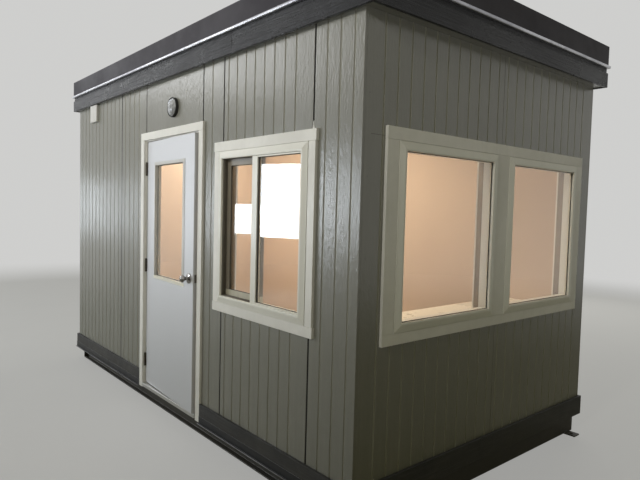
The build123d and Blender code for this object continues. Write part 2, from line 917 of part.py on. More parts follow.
# Profile of the window frames: a small lip by the casing, a slope up to a flat ridge,
# and a straight return to the glass. Its x runs outwards from the clear opening.
ridge_top = window_casing_thickness + frame_proud
lip_top = window_casing_thickness + frame_lip_proud
frame_back_level = window_casing_thickness - frame_depth
with BuildSketch() as frame_profile:
    with BuildLine():
        Polyline(
            (0, ridge_top),
            (frame_nose_width, ridge_top),
            (frame_face_width - frame_lip_width, lip_top),
            (frame_face_width, lip_top),
            (frame_face_width, frame_back_level),
            (0, frame_back_level),
            close=True,
        )
    make_face()
    fillet(frame_profile.vertices().group_by(Axis.Y)[-1], radius=frame_nose_radius)

front_center = (front_window_center, window_middle)
clear_low = window_bottom + frame_face_width
clear_high = window_top - frame_face_width
clear_height = clear_high - clear_low
front_clear_width = front_window_width - 2 * frame_face_width
end_clear_width = end_window_width - 2 * frame_face_width

# Front window: casing boards, frame, the two sashes and their glass
casing_edge = front_window_width / 2 + casing_gap
casing_reach = casing_edge + front_casing_leg + front_casing_ear
window_casing_y = (-half_width - window_casing_thickness, -half_width)
window_casing_z = (window_bottom - casing_gap, window_top + casing_gap)
long_board_x = (front_window_center - casing_reach, front_window_center + casing_reach)
with BuildPart() as front_casing:
    for side in (-1, 1):
        near = front_window_center + side * casing_edge
        far = near + side * front_casing_leg
        slab(
            sorted((near, far)),
            window_casing_y,
            (window_casing_z[0] + butt_gap, window_casing_z[1] - butt_gap),
        )
    slab(
        long_board_x,
        window_casing_y,
        (window_casing_z[1], window_casing_z[1] + front_casing_head),
    )
    slab(
        long_board_x,
        window_casing_y,
        (window_casing_z[0] - front_casing_sill, window_casing_z[0]),
    )
finish(front_casing, "front_window_casing")

with BuildPart() as front_frame:
    moulding(front_face, front_center, (front_clear_width, clear_height), frame_profile)
finish(front_frame, "front_window_frame")

clear_left = front_window_center - front_clear_width / 2
clear_right = front_window_center + front_clear_width / 2
stile_left = front_window_center + meeting_stile_shift - meeting_stile_width / 2
stile_right = stile_left + meeting_stile_width
outer_sash_level = ridge_top - outer_sash_setback
inner_sash_level = outer_sash_level - outer_sash_thickness - inner_sash_gap
outer_pane = (
    (stile_right, clear_right - outer_sash_bead),
    (clear_low + outer_sash_bead, clear_high - outer_sash_bead),
)
inner_pane = (
    (clear_left + inner_sash_face, stile_right - inner_sash_face),
    (clear_low + inner_sash_face, clear_high - inner_sash_face),
)


def front_slab(x_range, z_range, level, depth, mode=Mode.ADD):
    """Adds a board in the front window, its face at a level from the wall face."""
    slab(x_range, (-half_width - level, -half_width - level + depth), z_range, mode=mode)


with BuildPart() as sashes:
    clear_z = (clear_low, clear_high)
    front_slab((stile_left, clear_right), clear_z, outer_sash_level, outer_sash_thickness)
    front_slab(*outer_pane, outer_sash_level, outer_sash_thickness, mode=Mode.SUBTRACT)
    front_slab((clear_left, stile_right), clear_z, inner_sash_level, inner_sash_thickness)
    front_slab(*inner_pane, inner_sash_level, inner_sash_thickness, mode=Mode.SUBTRACT)
finish(sashes, "front_window_sashes")

with BuildPart() as front_glass:
    front_slab(*outer_pane, outer_sash_level - outer_pane_setback, glass_thickness)
    front_slab(*inner_pane, inner_sash_level - inner_pane_setback, glass_thickness)
finish(front_glass, "front_window_glass")

# End wall windows: one casing round both with a post between them, and two frames
pair_half = end_window_width + end_post_width / 2 + casing_gap
pair_reach = pair_half + end_casing_leg
casing_x = (half_length, half_length + window_casing_thickness)
post_half = end_post_width / 2 - casing_gap
with BuildPart() as end_casing:
    upright_z = (window_casing_z[0] + butt_gap, window_casing_z[1] - butt_gap)
    for y_range in (
        (-pair_reach, -pair_half),
        (-post_half, post_half),
        (pair_half, pair_reach),
    ):
        slab(casing_x, y_range, upright_z)
    slab(
        casing_x,
        (-pair_reach, pair_reach),
        (window_casing_z[1], window_casing_z[1] + end_casing_head),
    )
    slab(
        casing_x,
        (-pair_reach, pair_reach),
        (window_casing_z[0] - end_casing_sill, window_casing_z[0]),
    )
finish(end_casing, "end_window_casing")

for name, center in zip(("end_window_frame_front", "end_window_frame_back"), end_window_centers):
    with BuildPart() as end_frame:
        moulding(right_face, (center, window_middle), (end_clear_width, clear_height), frame_profile)
    finish(end_frame, name)

end_pane_x = half_length + ridge_top - end_glass_setback
with BuildPart() as end_glass:
    for center in end_window_centers:
        slab(
            (end_pane_x - glass_thickness, end_pane_x),
            (center - end_clear_width / 2, center + end_clear_width / 2),
            (clear_low, clear_high),
        )
finish(end_glass, "end_window_glass")


def inside_trim(face, centers, width):
    """Adds the lining boards of a wall's window openings and one casing round them inside."""
    casing_width = centers[-1] - centers[0] + width + 2 * inside_casing_width
    with BuildSketch(face.offset(-wall_thickness)) as casing:
        with Locations(((centers[0] + centers[-1]) / 2, window_middle)):
            Rectangle(casing_width, window_height + 2 * inside_casing_width)
    extrude(casing.sketch, amount=-inside_casing_thickness)
    with BuildSketch(face.offset(frame_back_level)) as lining:
        with Locations([(center, window_middle) for center in centers]):
            Rectangle(width + 2 * window_gap, window_height + 2 * window_gap)
    extrude(lining.sketch, amount=-(wall_thickness + frame_back_level))
    with BuildSketch(face.offset(frame_back_level)) as opening:
        with Locations([(center, window_middle) for center in centers]):
            Rectangle(
                width + 2 * (window_gap - lining_thickness),
                window_height + 2 * (window_gap - lining_thickness),
            )
    extrude(
        opening.sketch,
        amount=-(wall_thickness + frame_back_level + inside_casing_thickness),
        mode=Mode.SUBTRACT,
    )


with BuildPart() as window_trim:
    inside_trim(front_face, (front_window_center,), front_window_width)
    inside_trim(right_face, end_window_centers, end_window_width)
finish(window_trim, "inside_window_trim")

# Round wall light over the door: a black ring round a bright dish under a domed lens
light_center = (door_center + light_from_door, casing_top + light_over_casing + light_radius, 0)
light_plane = plane_on(front_face, light_center, (0, 0, 1), (0, 1, 0))
light_axis = Axis(light_plane.origin, light_plane.x_dir)
lens_radius = light_radius - light_bezel_width
dish_level = light_depth - light_dish_depth
with BuildPart() as light_body:
    with BuildSketch(light_plane):
        with BuildLine():
            Polyline(
                (light_depth, lens_radius),
                (dish_level, lens_radius),
                (dish_level, 0),
                (0, 0),
                (0, light_radius),
                (light_depth - light_bezel_round, light_radius),
                (light_depth, light_radius - light_bezel_round),
                close=True,
            )
        make_face()
    revolve(axis=light_axis)
finish(light_body, "wall_light_body")

with BuildPart() as light_lens:
    with BuildSketch(light_plane):
        with BuildLine():
            Polyline(
                (dish_level, 0),
                (dish_level, lens_radius),
                (dish_level + lens_crown, lens_flat_radius),
                (dish_level + lens_crown, 0),
                close=True,
            )
        make_face()
    revolve(axis=light_axis)
finish(light_lens, "wall_light_lens")

# Cover box under the fascia at the left of the front wall
box_center = -half_length + box_from_left_end
box_top = fascia_bottom - butt_gap
with BuildPart() as cover_box:
    slab(
        (box_center - box_width / 2, box_center + box_width / 2),
        (-half_width - box_depth, -half_width),
        (box_top - box_height, box_top),
    )
finish(cover_box, "cover_box")

# Counter inside under the end windows, on cleats along three walls
counter_front = inner_length - counter_depth
counter_top_level = window_bottom - inside_casing_width - counter_under_casing
counter_foot = counter_top_level - counter_thickness
with BuildPart() as counter:
    slab(
        (counter_front, inner_length),
        (-inner_width, inner_width),
        (counter_foot, counter_top_level),
    )
finish(counter, "counter_top")

cleat_z = (counter_foot - cleat_height, counter_foot)
with BuildPart() as cleats:
    slab(
        (inner_length - cleat_depth, inner_length),
        (-inner_width + cleat_depth + cleat_fit, inner_width - cleat_depth - cleat_fit),
        cleat_z,
    )
    for side in (-1, 1):
        slab(
            (counter_front + cleat_depth, inner_length),
            sorted((side * inner_width, side * (inner_width - cleat_depth))),
            cleat_z,
        )
finish(cleats, "counter_cleats")
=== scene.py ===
"""Finishes of the security guard booth: paint, grain, worn edges, fixings, turned parts and the stage.

Every place is in metres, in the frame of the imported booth: +Z up, the front wall faces -Y.
"""
import json
import math
import random

import bmesh
import bpy
from bpy.props import FloatProperty, FloatVectorProperty, IntProperty, PointerProperty
from mathutils import Matrix, Vector

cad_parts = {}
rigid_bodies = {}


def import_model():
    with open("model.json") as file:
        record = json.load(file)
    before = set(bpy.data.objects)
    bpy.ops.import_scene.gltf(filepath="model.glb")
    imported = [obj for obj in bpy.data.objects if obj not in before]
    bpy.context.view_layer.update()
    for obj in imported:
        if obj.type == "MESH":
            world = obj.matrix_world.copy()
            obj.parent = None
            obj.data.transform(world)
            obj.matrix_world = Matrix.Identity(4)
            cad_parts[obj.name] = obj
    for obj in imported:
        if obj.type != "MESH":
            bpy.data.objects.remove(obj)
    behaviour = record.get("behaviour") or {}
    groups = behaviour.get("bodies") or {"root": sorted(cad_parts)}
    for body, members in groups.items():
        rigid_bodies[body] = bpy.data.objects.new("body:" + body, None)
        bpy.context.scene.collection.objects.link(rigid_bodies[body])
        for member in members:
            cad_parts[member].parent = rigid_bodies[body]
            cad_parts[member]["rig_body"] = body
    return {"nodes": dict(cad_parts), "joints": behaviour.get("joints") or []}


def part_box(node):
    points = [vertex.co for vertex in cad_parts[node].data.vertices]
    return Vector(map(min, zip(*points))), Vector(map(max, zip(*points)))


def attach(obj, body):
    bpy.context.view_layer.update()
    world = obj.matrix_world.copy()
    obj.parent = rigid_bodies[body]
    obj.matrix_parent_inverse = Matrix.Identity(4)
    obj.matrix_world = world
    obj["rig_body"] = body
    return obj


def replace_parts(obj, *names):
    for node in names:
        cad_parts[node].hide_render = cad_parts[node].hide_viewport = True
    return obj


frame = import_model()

bl_info = {
    "name": "Guard booth finishes",
    "version": (1, 0, 0),
    "blender": (4, 5, 0),
    "location": "View3D > Sidebar > Booth",
    "description": "Dresses the packed guard booth with its paint, wear, fixings and glass",
    "category": "Object",
}

MERGE_DISTANCE = 0.00002
FLAT_ANGLE = math.radians(0.5)
SHARP_ANGLE = math.radians(32)
SMOOTH_ANGLE = math.radians(50)
TINY = 1e-6
FULL_TURN = 2 * math.pi
MITRE_GAP = 0.0002
JOINT_EASE = 0.0045
# Nails in boards and screws in the strike have this share of the usual head
SMALL_HEAD = 0.8

WALL_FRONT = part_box("front_siding")[0].y
WALL_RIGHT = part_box("right_end_siding")[1].x
HINGE_JOINT = frame["joints"][0]
PIN = Vector(HINGE_JOINT["pos_m"])
# The leaf stands ajar by the joint's lower limit, so this turns its closed place into where it stands
AJAR = (
    Matrix.Translation(PIN)
    @ Matrix.Rotation(math.radians(HINGE_JOINT["range_deg"][0]), 4, "Z")
    @ Matrix.Translation(-PIN)
)


def shade(name, description, default):
    """A colour property, in the linear values that a shader takes."""
    return FloatVectorProperty(
        name=name, description=description, default=default, subtype="COLOR", min=0, max=1
    )


def length(name, description, default):
    """A length property in metres."""
    return FloatProperty(name=name, description=description, default=default, unit="LENGTH", min=0)


class BoothColours(bpy.types.PropertyGroup):
    """Paint and material colours of the booth."""

    siding: shade("Siding", "Mid grey wall paint", (0.235, 0.23, 0.2))
    siding_shade: shade("Siding shade", "Darker patches of the wall paint", (0.205, 0.2, 0.172))
    # The groove colour is painted light: paler paint that lifts the shade in the grooves, and on the end wall
    # paints the light caught by their sides.
    groove_light: shade("Groove", "Paler paint in the siding's grooves", (0.6, 0.585, 0.48))
    dark_board: shade("Dark boards", "Charcoal paint of skirt and lower fascia", (0.042, 0.042, 0.046))
    upper_fascia: shade("Upper fascia", "Purple-grey paint of the upper fascia", (0.062, 0.058, 0.067))
    trim: shade("Trim", "Off-white paint of casings and jambs", (0.85, 0.825, 0.775))
    door: shade("Door", "Pale grey paint of the door", (0.53, 0.517, 0.553))
    vinyl: shade("Vinyl", "Off-white window profiles", (0.84, 0.82, 0.75))
    steel: shade("Base steel", "Black paint of the skid base", (0.012, 0.012, 0.014))
    track: shade("Window track", "Shaded brown-grey of tracks and the inner sash", (0.19, 0.165, 0.13))
    lite_trim: shade("Door light trim", "Pale moulding round the door's glass", (0.62, 0.61, 0.59))
    caulk: shade("Caulk", "White caulk", (0.78, 0.77, 0.74))
    lining: shade("Lining", "Warm beige inside walls", (0.6, 0.47, 0.37))
    ceiling: shade("Ceiling", "White ceiling board", (0.7, 0.67, 0.6))
    floor: shade("Floor", "Grey-brown sheet floor", (0.2, 0.175, 0.15))
    wood: shade("Wood", "Bare framing timber", (0.5, 0.33, 0.17))
    membrane: shade("Membrane", "Pale grey roof sheet", (0.42, 0.42, 0.4))
    laminate: shade("Laminate", "White counter", (0.88, 0.83, 0.73))
    sill: shade("Sill", "Metal door sill", (0.5, 0.49, 0.46))
    bronze: shade("Bronze", "Dark hinge metal", (0.085, 0.07, 0.05))
    chrome: shade("Chrome", "Bright lockset metal", (0.4, 0.38, 0.36))
    box: shade("Cover box", "White plastic box", (0.62, 0.6, 0.56))


class BoothSizes(bpy.types.PropertyGroup):
    """Sizes of what the finishes add."""

    board_edge: length("Board edge", "Rounding of a painted board's edges", 0.0015)
    siding_edge: length("Siding edge", "Rounding at the siding's grooves", 0.0019)
    steel_edge: length("Steel edge", "Rounding of the base channels", 0.002)
    nail_radius: length("Nail head", "Radius of a siding nail head", 0.0042)
    screw_radius: length("Screw head", "Radius of a screw head", 0.004)
    nail_pitch: length("Nail pitch", "Distance between nails up a sheet edge", 0.406)
    nail_inset: length("Nail inset", "Distance of the nails from a corner", 0.045)
    gasket_width: length("Gasket", "Width of the rubber round a pane", 0.0028)
    turned_steps: IntProperty(
        name="Turned steps", description="Facets round a turned part", default=64, min=12, max=256
    )


def plug(tree, socket, value):
    """Joins an output to a socket, or sets the socket to a number or colour."""
    if isinstance(value, bpy.types.NodeSocket):
        tree.links.new(value, socket)
    elif socket.type == "RGBA":
        socket.default_value = (*value[:3], 1.0)
    else:
        socket.default_value = value


def node(tree, kind, inputs=None, **options):
    """Adds one shader node with its options and inputs, which go by name or number."""
    made = tree.nodes.new(f"ShaderNode{kind}")
    for name, value in options.items():
        setattr(made, name, value)
    for name, value in (inputs or {}).items():
        plug(tree, made.inputs[name], value)
    return made


def fill(tree, sockets, values):
    """Plugs values into sockets, whose names are given with an underscore for each space."""
    for name, value in values.items():
        plug(tree, sockets[name.replace("_", " ")], value)


def math_node(tree, operation, first, second, clamp=False):
    """Adds a Math node and gives its result."""
    inputs = {0: first, 1: second}
    return node(tree, "Math", inputs, operation=operation, use_clamp=clamp).outputs[0]


def product(tree, first, second):
    """Multiplies two values."""
    return math_node(tree, "MULTIPLY", first, second)


def mix_colours(tree, amount, first, second):
    """Mixes two colours by an amount."""
    return node(tree, "Mix", {0: amount, 6: first, 7: second}, data_type="RGBA").outputs[2]


def spread(tree, value, low, high):
    """Maps a value from 0 to 1 onto low to high."""
    limits = {"Value": value, "To Min": low, "To Max": high}
    return node(tree, "MapRange", limits).outputs["Result"]


def ramp(tree, value, low, high):
    """Spreads a value from low to high over 0 to 1, smoothly."""
    limits = {"Value": value, "From Min": low, "From Max": high}
    return node(tree, "MapRange", limits, interpolation_type="SMOOTHSTEP").outputs["Result"]


def stretch(tree, vector, scale):
    """Scales a pattern's coordinates along each axis."""
    return node(tree, "Mapping", {"Vector": vector, "Scale": scale}).outputs["Vector"]


def noise(tree, vector, scale, detail=3.0, roughness=0.55):
    """Adds cloudy noise and gives its value."""
    inputs = {"Vector": vector, "Scale": scale, "Detail": detail, "Roughness": roughness}
    return node(tree, "TexNoise", inputs).outputs["Fac"]


def attribute(tree, name, output="Fac"):
    """Reads an attribute of the piece."""
    return node(tree, "Attribute", attribute_name=name).outputs[output]


def effect(name, numbers, outputs=("Mask",)):
    """Starts a shader node group that takes a vector and some numbers, and gives its two ends."""
    tree = bpy.data.node_groups.new(name, "ShaderNodeTree")
    tree.interface.new_socket("Vector", in_out="INPUT", socket_type="NodeSocketVector")
    for label, value in numbers.items():
        socket = tree.interface.new_socket(label, in_out="INPUT", socket_type="NodeSocketFloat")
        socket.default_value = value
    for label in outputs:
        tree.interface.new_socket(label, in_out="OUTPUT", socket_type="NodeSocketFloat")
    return tree, tree.nodes.new("NodeGroupInput").outputs, tree.nodes.new("NodeGroupOutput").inputs


def build_cloudy_paint():
    """Large soft patches where the paint is thicker, thinner or rubbed."""
    tree, given, out = effect("Cloudy paint", {"Patch scale": 1.6})
    broad = noise(tree, given["Vector"], given["Patch scale"], 4.0)
    fine = noise(tree, given["Vector"], product(tree, given["Patch scale"], 9.0))
    both = math_node(tree, "ADD", broad, product(tree, fine, 0.35))
    plug(tree, out["Mask"], ramp(tree, both, 0.5, 0.85))


def build_rain_streaks():
    """Narrow upright marks left by water, stronger in some places than in others."""
    tree, given, out = effect("Rain streaks", {"Width scale": 26.0})
    upright = stretch(tree, given["Vector"], (1.0, 1.0, 0.03))
    lines = noise(tree, upright, given["Width scale"], 3.0, 0.6)
    places = noise(tree, given["Vector"], 1.3, 2.0)
    plug(tree, out["Mask"], product(tree, ramp(tree, lines, 0.38, 0.8), ramp(tree, places, 0.3, 0.75)))


def build_wood_grain():
    """Raised grain along a board's first axis, as saw marks and fibres under paint."""
    tree, given, out = effect("Board grain", {"Fineness": 1.0}, ["Mask", "Height"])
    fibres = noise(tree, stretch(tree, given["Vector"], (5.0, 160.0, 160.0)), given["Fineness"], 4.0, 0.65)
    bands = noise(tree, stretch(tree, given["Vector"], (1.5, 34.0, 34.0)), given["Fineness"])
    height = math_node(tree, "ADD", product(tree, bands, 0.6), fibres)
    plug(tree, out["Height"], height)
    plug(tree, out["Mask"], ramp(tree, height, 0.72, 1.02))


def build_edge_wear():
    """Where an edge has lost its paint: the marked edges, broken up by noise."""
    tree, given, out = effect("Edge wear", {"Edge": 0.0, "Amount": 0.5})
    chips = noise(tree, given["Vector"], 38.0, 4.0, 0.7)
    level = math_node(tree, "SUBTRACT", 1.0, given["Amount"])
    worn = ramp(tree, math_node(tree, "SUBTRACT", chips, level), -0.06, 0.06)
    plug(tree, out["Mask"], math_node(tree, "MULTIPLY", worn, given["Edge"], clamp=True))


def build_low_dust():
    """Dust that lies towards the foot of the booth and breaks up higher."""
    tree, given, out = effect("Low dust", {"Height": 0.5})
    level = node(tree, "SeparateXYZ", {"Vector": given["Vector"]}).outputs["Z"]
    share = math_node(tree, "DIVIDE", level, given["Height"])
    rise = math_node(tree, "ADD", share, product(tree, noise(tree, given["Vector"], 5.0, 4.0), 0.8))
    plug(tree, out["Mask"], math_node(tree, "SUBTRACT", 1.0, ramp(tree, rise, 0.35, 1.3), clamp=True))


def build_scuffs():
    """Short scratches and rubbed spots."""
    tree, given, out = effect("Scuffs", {"Amount": 0.3})
    warp = node(tree, "TexNoise", {"Vector": given["Vector"], "Scale": 3.0}).outputs["Color"]
    moved = node(tree, "VectorMath", {0: given["Vector"], 1: warp}, operation="ADD").outputs[0]
    lines = noise(tree, stretch(tree, moved, (14.0, 14.0, 55.0)), 1.0, 5.0, 0.75)
    places = noise(tree, given["Vector"], 4.0, 2.0)
    joined = product(tree, ramp(tree, lines, 0.6, 0.75), ramp(tree, places, 0.5, 0.65))
    plug(tree, out["Mask"], product(tree, joined, given["Amount"]))


EFFECTS = (
    build_cloudy_paint, build_rain_streaks, build_wood_grain, build_edge_wear, build_low_dust,
    build_scuffs,
)


def use(tree, effect_name, **inputs):
    """Places a shared effect in a material, with its own values, and gives its outputs."""
    made = node(tree, "Group", node_tree=bpy.data.node_groups[effect_name])
    fill(tree, made.inputs, inputs)
    return made.outputs


def new_finish(**inputs):
    """Starts a material and gives it with its tree, its shader's inputs and Object coordinates."""
    finish = bpy.data.materials.new("finish")
    finish.use_nodes = True
    tree = finish.node_tree
    shader = tree.nodes["Principled BSDF"].inputs
    fill(tree, shader, inputs)
    return finish, tree, shader, node(tree, "TexCoord").outputs["Object"]


def bump(tree, shader, height):
    """Turns a height in metres into the shader's normal."""
    made = node(tree, "Bump", {"Height": height, "Distance": 1.0, "Strength": 1.0})
    plug(tree, shader["Normal"], made.outputs["Normal"])


def toned(colour, share):
    """The colour at a share of its strength."""
    return tuple(share * value for value in colour)


def cover(tree, surface, colour, mask, amount):
    """Lays a colour over a surface where a mask says, by an amount."""
    return mix_colours(tree, product(tree, mask, amount), surface, colour)


def paint(
    colour, patch, roughness, grain=0.0, fineness=1.0, nap=0.0001, film_scale=420.0, film_run=1.0,
    patches=0.6, streaks=0.0, dust=0.0, wear=0.0, bare=(0.5, 0.5, 0.5), scuffs=0.0,
    scuff_colour=(0.3, 0.3, 0.3), sheen_level=0.5, fibre_tone=0.0, metallic=0.0, painted_light_colour=None,
):
    """A painted surface: cloudy colour, rain streaks, dust, scuffs, worn edges, grain under the film.

    The patch is a colour, or a share of the paint's own strength.
    """
    streak_share, fibre_share, dust_colour, dust_height = 0.62, 1.5, (0.3, 0.27, 0.2), 0.6
    finish, tree, shader, place = new_finish(Specular_IOR_Level=sheen_level, Metallic=metallic)
    board = attribute(tree, "board", "Vector")
    clouds = use(tree, "Cloudy paint", Vector=board)["Mask"]
    patch_colour = toned(colour, patch) if isinstance(patch, float) else patch
    surface = cover(tree, colour, patch_colour, clouds, patches)
    fibres = use(tree, "Board grain", Vector=board, Fineness=fineness)
    if fibre_tone:
        pale = tuple(min(1.0, value) for value in toned(colour, fibre_share))
        surface = cover(tree, surface, pale, fibres["Mask"], fibre_tone)
    # Painted light: a paler colour where the piece marks it, which lifts the shade in grooves and lights the
    # tops of low rails.
    if painted_light_colour:
        surface = mix_colours(tree, attribute(tree, "painted_light"), surface, painted_light_colour)
    if streaks:
        marks = use(tree, "Rain streaks", Vector=place)["Mask"]
        surface = cover(tree, surface, toned(colour, streak_share), marks, streaks)
    if scuffs:
        rubbed = use(tree, "Scuffs", Vector=place, Amount=scuffs)["Mask"]
        surface = mix_colours(tree, rubbed, surface, scuff_colour)
    if dust:
        low = use(tree, "Low dust", Vector=place, Height=dust_height)["Mask"]
        surface = cover(tree, surface, dust_colour, low, dust)
    if wear:
        worn = use(tree, "Edge wear", Vector=place, Edge=attribute(tree, "edge"), Amount=wear)
        surface = mix_colours(tree, worn["Mask"], surface, bare)
    plug(tree, shader["Base Color"], surface)
    plug(tree, shader["Roughness"], spread(tree, clouds, *roughness))
    film = noise(tree, stretch(tree, place, (1.0, 1.0, film_run)), film_scale, 2.0)
    height = product(tree, film, nap)
    if grain:
        height = math_node(tree, "ADD", height, product(tree, fibres["Height"], grain))
    bump(tree, shader, height)
    return finish


def metal(colour, roughness, brush=0.0, spots=0.3):
    """Bare metal with a fine brushed or spotted surface."""
    stain_scale, stain_share, brush_scale = 18.0, 0.55, (6.0, 600.0, 600.0)
    finish, tree, shader, place = new_finish(Metallic=1.0)
    stains = use(tree, "Cloudy paint", Vector=place, Patch_scale=stain_scale)["Mask"]
    plug(tree, shader["Base Color"], cover(tree, colour, toned(colour, stain_share), stains, spots))
    plug(tree, shader["Roughness"], spread(tree, stains, *roughness))
    if brush:
        lines = noise(tree, stretch(tree, place, brush_scale), 1.0)
        bump(tree, shader, product(tree, lines, brush))
    return finish


def rubber(colour, roughness=0.55, shine=0.5):
    """Dull black rubber or plastic, with dust in its grain."""
    speck_scale, speck_height, speck_paleness = 300.0, 0.0001, 0.03
    finish, tree, shader, place = new_finish(Roughness=roughness, Specular_IOR_Level=shine)
    specks = noise(tree, place, speck_scale)
    pale = tuple(value + speck_paleness for value in colour)
    plug(tree, shader["Base Color"], mix_colours(tree, ramp(tree, specks, 0.5, 0.8), colour, pale))
    bump(tree, shader, product(tree, specks, speck_height))
    return finish


def window_glass():
    """Clear glass with faint smears."""
    finish, tree, shader, place = new_finish(Transmission_Weight=1.0, IOR=1.5, Base_Color=(0.97, 0.98, 0.97))
    film = noise(tree, place, 3.0, 4.0, 0.7)
    plug(tree, shader["Roughness"], spread(tree, ramp(tree, film, 0.5, 0.8), 0.0, 0.06))
    return finish


def lens_plastic():
    """Ribbed plastic with clouds of silver, as if a reflector were behind it."""
    finish, tree, shader, place = new_finish(
        Transmission_Weight=0.25, Roughness=0.14, Coat_Weight=0.6, Coat_Roughness=0.05
    )
    clouds = use(tree, "Cloudy paint", Vector=place, Patch_scale=34.0)["Mask"]
    plug(tree, shader["Base Color"], mix_colours(tree, clouds, (0.55, 0.56, 0.57), (0.3, 0.3, 0.31)))
    return finish


